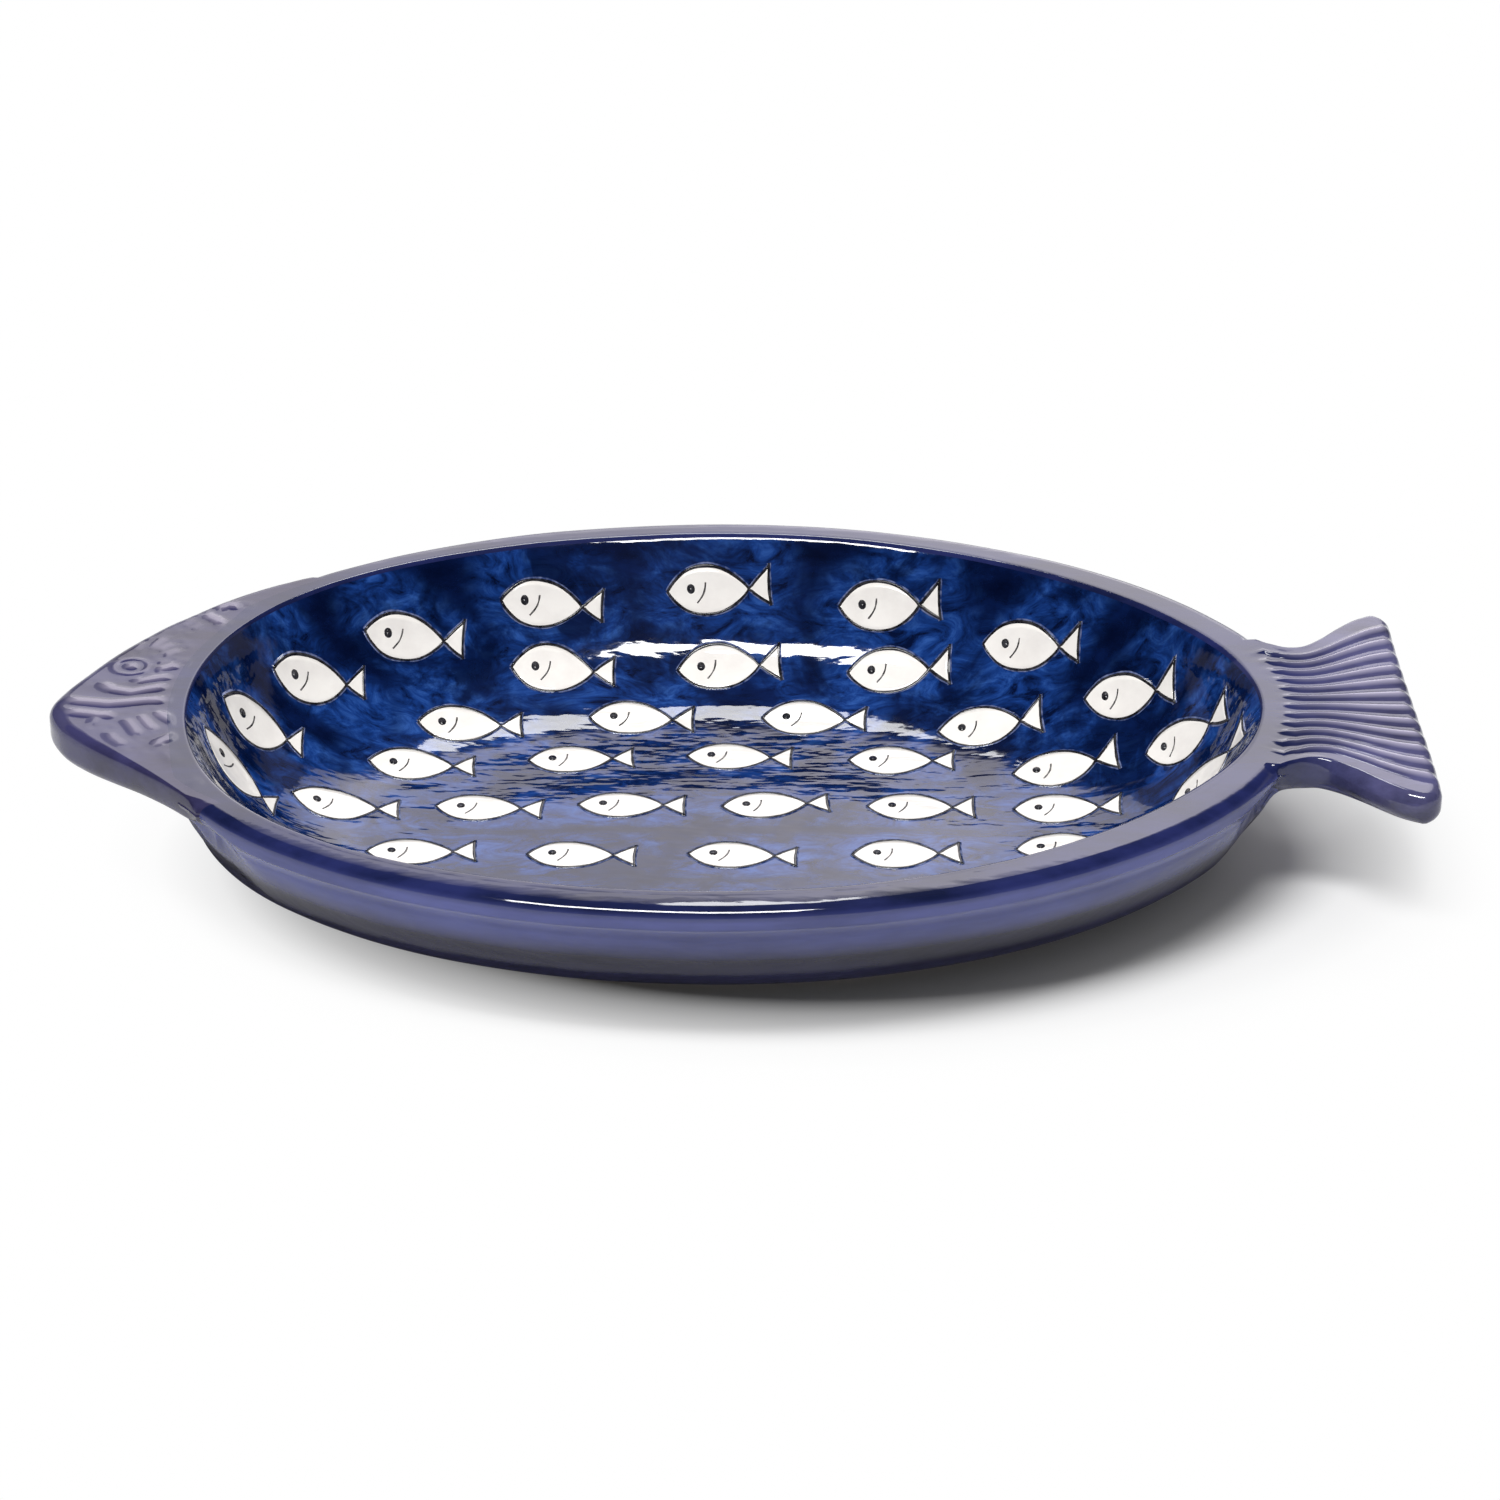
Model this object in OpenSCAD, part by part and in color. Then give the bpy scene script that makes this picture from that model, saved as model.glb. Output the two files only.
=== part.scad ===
// Oval serving platter in the shape of a fish, glazed earthenware.
// Millimetres, +Z up, head towards -X, tail towards +X.
// The origin is on the table under the middle of the whole outline.

/* [Bowl] */
// Bowl opening, from its widest line to its head end
bowl_head_l = 174.5; // [140:0.5:220]
// Bowl opening, from its widest line to its tail end
bowl_tail_l = 178.5; // [140:0.5:220]
// Half of the widest bowl opening
bowl_half_w = 118; // [90:0.5:150]
// Height of the rim's top above the table
rim_h = 58; // [45:0.5:75]
// Height of the bowl's floor above the table
floor_z = 8.5; // [7:0.5:14]
// Level distance from the bowl's edge to the flat of its floor
wall_run = 70; // [55:1:80]

/* [Rim] */
// Width of the rim at the widest line
lip_w = 12.5; // [9:0.5:18]
// Width of the rim at the head end
lip_head_w = 15.5; // [11:0.5:20]
// Width of the rim at the tail end
lip_tail_w = 13.5; // [10:0.5:20]
// Height of the rim's rounded outer face
lip_t = 8; // [6:0.5:10]

/* [Head] */
// From the bowl's edge to the tip of the nose
head_reach = 45.5; // [35:0.5:60]
// From the nose back to where the head leaves the rim
head_span = 79; // [70:0.5:90]
// Half width of the head where it leaves the rim
head_half_w = 90; // [84:0.5:96]
// Thickness of the head slab
head_t = 14; // [10:0.5:18]
// Height of the pressed lines on the head
line_h = 1.1; // [0.5:0.1:1.6]
// Half width of a pressed line on the head
line_half_w = 1.7; // [1.2:0.1:2.5]

/* [Tail] */
// From the bowl's edge to the end of the tail
tail_reach = 53.5; // [45:0.5:65]
// Half width of the tail's narrow neck
neck_half_w = 38; // [33:0.5:44]
// Half width of the tail's end
tail_half_w = 62; // [52:0.5:72]
// Thickness of the tail slab
tail_t = 12; // [9:0.5:16]
// Number of ribs in the tail's fan
rib_count = 12; // [8:1:16]
// Height of a rib above its valleys
rib_h = 1.8; // [0.6:0.1:2.6]

/* [Foot] */
// From the rim's outer edge in to the foot ring
foot_inset = 48; // [40:1:60]
// Width of the foot ring
foot_w = 8; // [5:0.5:12]
// Height of the foot ring
foot_h = 3.5; // [2:0.5:5]

/* [Small fish] */
// Length of a small fish
fish_l = 36; // [26:0.5:40]
// Height of a small fish
fish_w = 16.5; // [10:0.5:18]
// Thickness of each coat of slip
slip_t = 0.3; // [0.2:0.05:0.5]
// Width of the dark outline
outline_w = 0.8; // [0.4:0.1:1.2]
// Radius of an eye
eye_r = 1.3; // [0.8:0.1:1.8]
// Number of small fish in the ring round the wall
ring_fish_count = 20; // [14:1:21]
// From the bowl's edge to the ring's middle line, at the bowl's sides
ring_side_inset = 8.5; // [7:0.5:10]
// The same at the bowl's two ends, where the fish lie up the slope
ring_end_inset = 16; // [15:0.5:20]

/* [Hidden] */

// The whole outline is centred along X, and its widest line falls a little off the origin
wide_x = (bowl_head_l + head_reach - bowl_tail_l - tail_reach) / 2;
nose_x = wide_x - bowl_head_l - head_reach;
tail_x = wide_x + bowl_tail_l + tail_reach;

// How far each oval draws in towards the tail and fills out towards the head
bowl_egg_share = 0.15;
rim_egg_share = 0.04;

// Share of the tail's width that the fan of ribs takes
rib_edge_share = 0.84;

// Directions of the stations, in degrees from the tail end: the head's, the tail's and the plain ones,
// and how many of each there are
head_from_angle = 138;
head_to_angle = 210;
tail_half_angle = 20;
head_steps = 56;
side_steps = 3;
rib_steps = 4;
plain_steps = 20;
blend_angle = 9;
full_turn = 360;
half_turn = 180;
quarter_turn = 90;

function steps(from, to, count) = [for (i = [0 : count - 1]) from + (to - from) * i / count];
HEAD_A = concat(steps(head_from_angle, head_to_angle, head_steps), [head_to_angle]);
rib_half_angle = rib_edge_share * tail_half_angle;
TAIL_A = concat(
    steps(-tail_half_angle, -rib_half_angle, side_steps),
    steps(-rib_half_angle, rib_half_angle, rib_steps * rib_count),
    steps(rib_half_angle, tail_half_angle, side_steps),
    [tail_half_angle]
);
RING_A = concat(
    TAIL_A,
    [for (a = steps(tail_half_angle, head_from_angle, plain_steps)) if (a > tail_half_angle) a],
    steps(head_from_angle, head_to_angle, head_steps),
    steps(head_to_angle, full_turn - tail_half_angle, plain_steps)
);

// Small helpers
function mix(a, b, share) = a + (b - a) * share;
function clamp01(v) = max(0, min(1, v));
function ease(v) = clamp01(v) * clamp01(v) * (3 - 2 * clamp01(v));
function sum(v, i = 0) = i < len(v) ? v[i] + sum(v, i + 1) : 0;
function turned(a) = a > half_turn ? a - full_turn : a;
function unit(v) = v / norm(v);

// A point of an egg shaped oval, inset from the one that its three lengths give
egg_power = 3;
function egg(a, head_l, tail_l, half_w, egg_share, inset) = [
    wide_x + ((cos(a) < 0 ? head_l : tail_l) - inset) * cos(a),
    (half_w - inset) * sin(a) * (1 - egg_share * pow(cos(a), egg_power))
];
function bowl_edge(a, inset) = egg(a, bowl_head_l, bowl_tail_l, bowl_half_w, bowl_egg_share, inset);
function rim_edge(a, inset) = egg(
    a, bowl_head_l + lip_head_w, bowl_tail_l + lip_tail_w, bowl_half_w + lip_w, rim_egg_share, inset
);
function at_height(xy, z) = [xy[0], xy[1], z];

// How fully the head or the tail has taken over the rim's outer side in a direction
function taken(past_angle) = ease(past_angle / blend_angle + 1);
function head_on(a) = taken(a - head_from_angle) * taken(head_to_angle - a);
function tail_on(a) = taken(tail_half_angle - abs(turned(a)));
function slab_on(a) = max(head_on(a), tail_on(a));
function at_tail(a) = abs(turned(a)) < quarter_turn;
function slab_t(a) = at_tail(a) ? tail_t : head_t;

// Share of the rim's width that is left inside of the head and of the tail
head_bite_share = 0.6;
tail_bite_share = 0.5;
bite_slope_share = 1.6;
function middle(a, from, to) = ease(bite_slope_share * (1 - abs(2 * a - from - to) / (to - from)));
function rim_share(a) = at_tail(a)
    ? 1 - tail_bite_share * middle(turned(a), -tail_half_angle, tail_half_angle)
    : 1 - head_bite_share * middle(a, head_from_angle, head_to_angle);

// The rim's section: shares of its width, and shares of its outer face's height below its top
rim_section_shares = [
    [0, 0.22], [0.15, 0.05], [0.42, 0], [0.7, 0.04], [0.9, 0.2], [1, 0.5], [0.98, 0.82], [0.86, 1.03]
];
// Where a slab joins, the section is flat on top and its outer face is as deep as the slab
slab_section_shares = [[0, 0.22], [0.15, 0.05], [0.4, 0], [0.6, 0], [0.8, 0], [1, 0], [1, 0.5], [1, 1]];
slab_face = 5;
function rim_point(a, i) =
    let (
        plain = rim_section_shares[i],
        slab = slab_section_shares[i],
        across = mix(plain[0], slab[0] * rim_share(a), slab_on(a)),
        drop = mix(plain[1] * lip_t, slab[1] * (i < slab_face ? lip_t : slab_t(a)), slab_on(a))
    )
    at_height(mix(bowl_edge(a, 0), rim_edge(a, 0), across), rim_h - drop);
rim_last = len(rim_section_shares) - 1;

// The inner wall: shares of its level run, and shares of its drop to the floor
wall_shares = [
    [0, 0], [0.035, 0.1], [0.08, 0.245], [0.13, 0.385], [0.195, 0.53],
    [0.28, 0.675], [0.4, 0.81], [0.57, 0.92], [1, 1]
];
function wall_z(inset) = rim_h - (rim_h - floor_z) * lookup(inset / wall_run, wall_shares);
function wall_point(a, i) =
    let (inset = wall_shares[i][0] * wall_run)
    at_height(bowl_edge(a, inset), wall_z(inset));
wall_last = len(wall_shares) - 1;
// The wall's first row below its edge is where the rim sits on the basin
seat_row = 1;

// The outer wall, from under the rim to the foot: shares of the foot's inset and of the height there
outer_shares = [
    [0.083, 0.86], [0.12, 0.7], [0.21, 0.53], [0.35, 0.38], [0.56, 0.22], [0.8, 0.08], [1, 0]
];
under_top = rim_h - lip_t;
function outer_plain(a, i) = at_height(
    rim_edge(a, outer_shares[i][0] * foot_inset),
    mix(foot_h, under_top, outer_shares[i][1])
);
// Under a slab the wall runs straight from the slab's root to this row
straight_row = 3;
function outer_point(a, i) = i >= straight_row
    ? outer_plain(a, i)
    : mix(
        outer_plain(a, i),
        mix(rim_point(a, rim_last), outer_plain(a, straight_row), (i + 1) / (straight_row + 1)),
        slab_on(a)
    );

// Rows of equal length joined in order. The faces look outwards when the rows run out from
// the bowl's floor, over the rim and under the bowl.
function row_points(rows) = [for (row = rows) each row];
function row_faces(rows, n, round) = [
    for (r = [0 : rows - (round ? 1 : 2)]) for (k = [0 : n - 1])
        let (
            q = (r + 1) % rows,
            a = r * n + k,
            b = r * n + (k + 1) % n,
            c = q * n + (k + 1) % n,
            d = q * n + k
        )
        each [[a, b, c], [a, c, d]]
];
function back_to_front(list) = [for (i = [len(list) - 1 : -1 : 0]) list[i]];
function count_up(from, count) = [for (k = [0 : count - 1]) from + k];
// One flat face over the first row and one over the last
function flat_ends(rows, n) = [back_to_front(count_up(0, n)), count_up((rows - 1) * n, n)];
// A strip of faces over a section whose second half runs back under its first
function strip_end(from, n) = [
    for (i = [0 : n / 2 - 2])
        let (a = from + i, b = from + i + 1, c = from + n - 2 - i, d = from + n - 1 - i)
        each [[a, b, c], [a, c, d]]
];
module shell(rings) {
    n = len(rings[0]);
    polyhedron(row_points(rings), concat(row_faces(len(rings), n, false), flat_ends(len(rings), n)));
}

// Closed sections joined in order, round a full ring or between two end faces.
// Each section runs from the side nearest the bowl over the top to the far side.
module loft(sections, round = false) {
    n = len(sections[0]);
    faces = concat(row_faces(len(sections), n, round), round ? [] : flat_ends(len(sections), n));
    polyhedron(row_points(sections), [for (face = faces) back_to_front(face)]);
}
// The same for a slab whose end faces are curved
module slab(sections) {
    n = len(sections[0]);
    last = (len(sections) - 1) * n;
    first_end = [for (face = strip_end(0, n)) back_to_front(face)];
    faces = concat(row_faces(len(sections), n, false), first_end, strip_end(last, n));
    polyhedron(row_points(sections), [for (face = faces) back_to_front(face)]);
}

// The bowl: floor, inner wall, the seat under the rim, outer wall and flat underside
module basin() {
    color("midnightblue") shell(concat(
        [for (i = [wall_last : -1 : seat_row]) [for (a = RING_A) wall_point(a, i)]],
        [[for (a = RING_A) rim_point(a, rim_last)]],
        [for (i = [0 : len(outer_shares) - 1]) [for (a = RING_A) outer_point(a, i)]]
    ));
}

// The rounded lip, which stops at the roots of the head and the tail
module rim() {
    color("slateblue") loft([
        for (a = RING_A) concat([wall_point(a, seat_row)], [for (i = [0 : rim_last]) rim_point(a, i)])
    ], true);
}

// The head's outline from its far end round the nose to its near end,
// in shares of its span back from the nose and of its half width
head_outline_shares = [
    [1, 1], [0.87, 0.95], [0.745, 0.878], [0.63, 0.795], [0.525, 0.705], [0.415, 0.61],
    [0.31, 0.495], [0.21, 0.373], [0.12, 0.238], [0.04, 0.105], [0, -0.02], [0.053, -0.148],
    [0.16, -0.262], [0.28, -0.365], [0.41, -0.47], [0.55, -0.595], [0.7, -0.745]
];
function head_place(i) = [
    nose_x + head_outline_shares[i][0] * head_span,
    head_outline_shares[i][1] * head_half_w
];
// A smooth curve through the outline's points
function curve(p0, p1, p2, p3, u) =
    let (
        slope = p2 - p0,
        bend = 2 * p0 - 5 * p1 + 4 * p2 - p3,
        twist = 3 * p1 - p0 - 3 * p2 + p3
    )
    p1 + (slope * u + bend * u * u + twist * u * u * u) / 2;
function head_outline(share) =
    let (
        last = len(head_outline_shares) - 1,
        f = clamp01(share) * last,
        i = min(floor(f), last - 1)
    )
    curve(head_place(max(i - 1, 0)), head_place(i), head_place(i + 1), head_place(min(i + 2, last)), f - i);

// The pressed lines on the head, in shares of its reach back from the nose tip and across
head_line_shares = [
    [[0.1, 0.22], [0.34, 0.27], [0.61, 0.215], [0.89, 0.265]],
    [[0.05, 0.09], [0.24, 0.1], [0.55, 0.03], [0.89, 0.07]],
    [[0.05, -0.1], [0.39, -0.13], [0.68, -0.1], [0.88, -0.15]],
    [[0.62, 0.93], [0.76, 1.06]],
    [[0.69, 0.76], [0.82, 0.94]],
    [[0.71, 0.63], [0.87, 0.79]],
    [[0.71, 0.5], [0.88, 0.62]],
    [[0.53, 0.37], [0.74, 0.37], [0.9, 0.45]],
    [[0.92, 1.42], [1.04, 1.3], [1.18, 1.16]],
    [[0.35, -0.36], [0.38, -0.24], [0.47, -0.15]],
    [[0.46, -0.5], [0.52, -0.36], [0.6, -0.22]],
    [[0.6, -0.68], [0.66, -0.5], [0.7, -0.34]],
    [[0.79, -0.36], [0.7, -0.2]],
    [[0.94, -0.36], [0.8, -0.19]],
    [[0.78, -0.68], [0.83, -0.54], [0.92, -0.46], [1.03, -0.47], [1.1, -0.58]],
    [[0.84, -0.88], [0.95, -1.03], [1.09, -1.1]],
    [[0.9, -0.66], [1, -0.86]]
];
eye_place_share = [0.54, 0.56];
eye_ring_share = 0.12;
function head_spot(share) = [nose_x + share[0] * head_reach, share[1] * head_reach];

// Distance from a point to a run between two others
function run_gap(p, a, b) =
    let (ab = b - a, f = clamp01((p - a) * ab / (ab * ab)))
    norm(p - a - ab * f);
function line_gap(p, line) = min([
    for (i = [0 : len(line) - 2]) run_gap(p, head_spot(line[i]), head_spot(line[i + 1]))
]);
function ridge(gap) = line_h * exp(-pow(gap / line_half_w, 2));
function head_relief(p) =
    let (eye_gap = norm(p - head_spot(eye_place_share)))
    min(
        sum([for (line = head_line_shares) ridge(line_gap(p, line))])
            + ridge(eye_gap) + ridge(eye_gap - eye_ring_share * head_reach),
        line_h
    );

// The head slab, from the rim's outer side to the outline, with a rounded edge
head_row_shares = [0, 0.08, 0.16, 0.24, 0.32, 0.4, 0.48, 0.56, 0.64, 0.72, 0.8, 0.88, 0.94, 0.985, 1];
head_drop_shares = [0, 0, 0, 0, 0, 0, 0, 0, 0, 0, 0.01, 0.03, 0.09, 0.22, 0.4];
// The head's edge stands at least this far out from the rim, and its side is upright to this depth
least_reach_share = 0.06;
least_reach = least_reach_share * head_t;
head_side_share = 0.75;
function head_tip(a) =
    let (
        root = rim_point(a, rim_last),
        out = head_outline((a - head_from_angle) / (head_to_angle - head_from_angle)),
        way = out - [root[0], root[1]],
        away = unit(bowl_edge(a, -lip_w) - bowl_edge(a, 0)),
        reach = way * away
    )
    reach > least_reach ? out : out + away * (least_reach - reach);
function head_section(a) =
    let (
        root = rim_point(a, rim_last),
        tip = head_tip(a),
        span = min(1, norm(tip - [root[0], root[1]]) / head_t),
        last = len(head_row_shares) - 1,
        top = [for (i = [0 : last])
            let (xy = mix([root[0], root[1]], tip, head_row_shares[i]))
            at_height(xy, rim_h - head_drop_shares[i] * head_t * span
                + (i == 0 ? 0 : head_relief(xy) * span * (1 - head_row_shares[i] * head_row_shares[i])))],
        low = mix([root[0], root[1]], tip, head_row_shares[last - 1])
    )
    concat(top, [at_height(tip, rim_h - head_side_share * head_t), at_height(low, rim_h - head_t), root]);
module head() {
    color("slateblue") loft([for (a = HEAD_A) head_section(a)]);
}

// The tail's half width along it, from its root at the rim to its end:
// shares of its length, and shares from the neck's half width to the end's
tail_width_shares = [
    [0, 0.26], [0.1, 0.08], [0.2, 0], [0.33, 0.04], [0.48, 0.26],
    [0.64, 0.56], [0.8, 0.82], [0.94, 0.96], [1, 1]
];
tail_row_shares = [0, 0.1, 0.2, 0.33, 0.48, 0.64, 0.8, 0.94, 1];
tail_drop_shares = [0, 0, 0, 0, 0, 0, 0, 0.05, 0.33];
tail_corner_share = 0.13;
tail_slant_share = 0.07;
tail_side_share = 0.88;
under_share = 0.6;
// Where the fan of ribs starts and ends across the tail, and where it rises from the rim
rib_start_share = 0.04;
rib_full_share = 0.3;
function tail_half_at(share) = mix(neck_half_w, tail_half_w, lookup(share, tail_width_shares));
// How far a place across the tail lies into its rounded side, from 0 to 1
function into_side(across) = clamp01((abs(across) - tail_side_share) / (1 - tail_side_share));
// The tail's end is slanted a little, and its corners are round
function tail_end_x(across) =
    tail_x - tail_slant_share * tail_half_w * ease((across + 1) / 2)
    - tail_corner_share * tail_half_w * (1 - sqrt(1 - pow(into_side(across), 2)));
function rib_rise(share) = ease((share - rib_start_share) / (rib_full_share - rib_start_share));
function rib(across, share) =
    let (f = (across / rib_edge_share + 1) / 2 * rib_count)
    abs(across) > rib_edge_share ? 0 : rib_h * abs(sin(half_turn * f)) * rib_rise(share);
// The tail's long edges are rounded over too
side_drop_share = 0.35;
function edge_drop(across) = side_drop_share * tail_t * pow(into_side(across), 2);
function tail_spot(a, share) =
    let (
        root = rim_point(a, rim_last),
        across = a / tail_half_angle,
        x = mix(root[0], tail_end_x(across), share)
    )
    share < tail_row_shares[1]
        ? [x, mix(root[1], across * tail_half_at(tail_row_shares[1]), share / tail_row_shares[1])]
        : [x, across * tail_half_at(share)];
function tail_section(a) =
    let (
        root = rim_point(a, rim_last),
        across = a / tail_half_angle,
        last = len(tail_row_shares) - 1,
        // How far each row's top lies below the rim's before its ribs, and what the ribs add there
        drops = [for (i = [0 : last]) i == 0 ? 0 : max(tail_drop_shares[i] * tail_t, edge_drop(across))],
        ribs = [for (i = [0 : last])
            let (s = tail_row_shares[i])
            i == 0 ? 0 : rib(across, s) - rib_h / 2 * ease(s / rib_full_share)],
        top = [for (i = [0 : last])
            at_height(tail_spot(a, tail_row_shares[i]), rim_h - drops[i] + ribs[i])],
        under = [for (i = [last : -1 : 0])
            at_height(tail_spot(a, tail_row_shares[i]), rim_h - tail_t + under_share * drops[i])]
    )
    concat(top, under);
module tail_fin() {
    color("slateblue") slab([for (a = TAIL_A) tail_section(a)]);
}

// The standing ring, an oval band under the flat of the basin
foot_sides = 120;
module foot_oval(inset) {
    polygon([for (a = steps(0, full_turn, foot_sides)) rim_edge(a, inset)]);
}
module foot_ring() {
    color("steelblue") linear_extrude(foot_h) difference() {
        foot_oval(foot_inset);
        foot_oval(foot_inset + foot_w);
    }
}

// How far in from the bowl's edge a point of the bowl lies, found by halving
halvings = 16;
function inside(p, inset) =
    let (
        along = (p[0] - wide_x) / ((p[0] < wide_x ? bowl_head_l : bowl_tail_l) - inset),
        reach = abs(along) < 1 ? (bowl_half_w - inset) * sqrt(1 - along * along) : 0
    )
    abs(p[1]) < reach * (1 - bowl_egg_share * pow(along, egg_power));
function inset_at(p, low = 0, high = bowl_half_w, left = halvings) =
    let (middle_inset = (low + high) / 2)
    left == 0 ? middle_inset
        : inside(p, middle_inset) ? inset_at(p, middle_inset, high, left - 1)
        : inset_at(p, low, middle_inset, left - 1);
function bowl_z(p) = wall_z(inset_at(p));

// A small fish lies on the bowl with its length along X: its centre, the bowl's normal,
// the way to its tail and the way to its back
probe_share = 0.015;
probe = probe_share * wall_run;
function bowl_normal(p) = unit([
    bowl_z(p - [probe, 0]) - bowl_z(p + [probe, 0]),
    bowl_z(p - [0, probe]) - bowl_z(p + [0, probe]),
    2 * probe
]);
function fish_frame(p, tilt) =
    let (
        up = bowl_normal(p),
        flat_tail = unit([1, 0, 0] - up * up[0]),
        flat_back = cross(up, flat_tail)
    )
    [p, up, flat_tail * cos(tilt) + flat_back * sin(tilt), flat_back * cos(tilt) - flat_tail * sin(tilt)];
// A point of the fish on the bowl, from its place along the fish, its place across and its height
function on_bowl(fish, along, across, lift) =
    let (place = fish[0] + [
        fish[2][0] * along + fish[3][0] * across,
        fish[2][1] * along + fish[3][1] * across
    ])
    at_height(place, bowl_z(place)) + fish[1] * lift;

// The fish's outline: shares of its length from its middle, and its half height there.
// The body is a lens of two arcs that meet in a narrow waist, and the tail opens behind it.
fish_shares = [
    [-0.5, 0.02], [-0.43, 0.19], [-0.32, 0.38], [-0.15, 0.5], [0.02, 0.46],
    [0.15, 0.3], [0.26, 0.035], [0.38, 0.21], [0.5, 0.38]
];
function half_height(along) = fish_w * lookup(along / fish_l, fish_shares);
module fish_coat(fish, margin, lift) {
    loft([
        for (s = fish_shares)
            let (
                along = s[0] * (fish_l + 2 * margin),
                half = s[1] * fish_w + margin
            )
            [
                on_bowl(fish, along, half, lift), on_bowl(fish, along, half, lift + slip_t),
                on_bowl(fish, along, -half, lift + slip_t), on_bowl(fish, along, -half, lift)
            ]
    ]);
}
function on_fish(fish, along, across, lift) =
    let (half = half_height(along))
    mix(on_bowl(fish, along, -half, lift), on_bowl(fish, along, half, lift), (across / half + 1) / 2);

// Each fish is tilted a little, by a rule that looks uneven
fish_tilt_angle = 4;
tilt_step_angle = 97;
function tilt(i) = fish_tilt_angle * sin(tilt_step_angle * i);

// A ring of small fish goes round the wall. They stand closer together at the bowl's ends.
ring_bunch_angle = 4.5;
function ring_angle(i) =
    let (even = full_turn * i / ring_fish_count)
    even - ring_bunch_angle * sin(2 * even);
RING_FISH = [
    for (i = [0 : ring_fish_count - 1])
        let (
            a = ring_angle(i),
            inset = mix(ring_side_inset, ring_end_inset, cos(a) * cos(a))
        )
        fish_frame(bowl_edge(a, inset), tilt(i))
];

// Rows of small fish cross the rest of the bowl: share of the bowl's half width there, count, and
// the place of the row's middle and the step to the next fish, in shares of the bowl's two lengths
fish_row_shares = [
    [0.78, 3, 0.02, 0.331], [0.605, 4, 0.016, 0.338], [0.41, 5, 0.04, 0.31], [0.14, 6, -0.03, 0.275],
    [-0.14, 5, 0.045, 0.305], [-0.41, 5, -0.01, 0.31], [-0.605, 4, 0, 0.338], [-0.78, 3, -0.02, 0.331]
];
ROW_FISH = [
    for (r = [0 : len(fish_row_shares) - 1])
        let (row = fish_row_shares[r])
        for (i = [0 : row[1] - 1])
            let (
                u = row[2] + row[3] * (i - (row[1] - 1) / 2),
                half_w = bowl_half_w * sqrt(1 - u * u) * (1 - bowl_egg_share * pow(u, egg_power))
            )
            fish_frame([wide_x + u * (u < 0 ? bowl_head_l : bowl_tail_l), row[0] * half_w], tilt(i + r * r))
];
ALL_FISH = concat(RING_FISH, ROW_FISH);

// Each coat lies a coat's thickness above the one below, so that none overlap where the bowl bends
outline_lift = slip_t / 2;
white_lift = outline_lift + 2 * slip_t;
mark_lift = white_lift + 2 * slip_t;

module wall_fish() {
    color("ivory") for (fish = RING_FISH) fish_coat(fish, 0, white_lift);
}
module floor_fish() {
    color("ivory") for (fish = ROW_FISH) fish_coat(fish, 0, white_lift);
}
module fish_outlines() {
    color("black") for (fish = ALL_FISH) fish_coat(fish, outline_w, outline_lift);
}

// The eye is a round dot near the nose, a little towards the back
eye_along_share = -0.3;
eye_across_share = 0.09;
eye_sides = 24;
module fish_eyes() {
    color("black") for (fish = ALL_FISH)
        translate(on_fish(fish, eye_along_share * fish_l, eye_across_share * fish_w, mark_lift))
            rotate([0, acos(fish[1][2]), atan2(fish[1][1], fish[1][0])])
                cylinder(h = slip_t, r = eye_r, $fn = eye_sides);
}

// The gill line is a short stroke behind the eye, bowed towards the tail
gill_along_share = -0.19;
gill_bow_share = 0.06;
gill_reach_share = 0.2;
gill_w = outline_w / 2;
module fish_gill_lines() {
    color("black") for (fish = ALL_FISH) loft([
        for (s = [-1 : 1])
            let (
                across = s * gill_reach_share * fish_w,
                along = fish_l * (gill_along_share + gill_bow_share * (1 - s * s))
            )
            [
                on_fish(fish, along - gill_w, across, mark_lift),
                on_fish(fish, along - gill_w, across, mark_lift + slip_t),
                on_fish(fish, along + gill_w, across, mark_lift + slip_t),
                on_fish(fish, along + gill_w, across, mark_lift)
            ]
    ]);
}

basin();
rim();
head();
tail_fin();
foot_ring();
wall_fish();
floor_fish();
fish_outlines();
fish_eyes();
fish_gill_lines();
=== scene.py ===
# %% [markdown]
# # A fish shaped serving platter in glazed earthenware
# The real platter is one piece of pressed clay: a deep oval bowl with a rolled lip, a head slab with
# pressed lines and a tail slab with a fan of ribs. It was brushed with cobalt, small fish were cut
# through to a white slip, and a thick clear glaze went over everything.
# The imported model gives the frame. Every piece here lies in that frame, in metres.

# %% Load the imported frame
import bpy
import bmesh
import math
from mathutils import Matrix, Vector, noise
from mathutils.bvhtree import BVHTree


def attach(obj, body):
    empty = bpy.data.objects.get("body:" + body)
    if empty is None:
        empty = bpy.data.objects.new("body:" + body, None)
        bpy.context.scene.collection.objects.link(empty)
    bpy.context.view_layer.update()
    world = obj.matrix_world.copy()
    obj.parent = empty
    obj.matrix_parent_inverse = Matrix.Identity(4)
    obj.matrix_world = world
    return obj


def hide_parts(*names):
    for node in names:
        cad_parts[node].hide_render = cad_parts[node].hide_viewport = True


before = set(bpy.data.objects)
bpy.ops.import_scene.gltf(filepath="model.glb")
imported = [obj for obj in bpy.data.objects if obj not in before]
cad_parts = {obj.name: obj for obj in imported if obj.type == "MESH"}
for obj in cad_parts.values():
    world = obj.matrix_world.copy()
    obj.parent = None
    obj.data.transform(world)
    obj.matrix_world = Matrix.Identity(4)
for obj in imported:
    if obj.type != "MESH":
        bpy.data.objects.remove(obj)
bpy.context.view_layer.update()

# %% [markdown]
# ## The sizes
# These are the sizes of the part's own source, turned into metres. The oval of the bowl has one length
# towards the head and one towards the tail, and a width. The lip, the head and the tail start from it.

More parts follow.
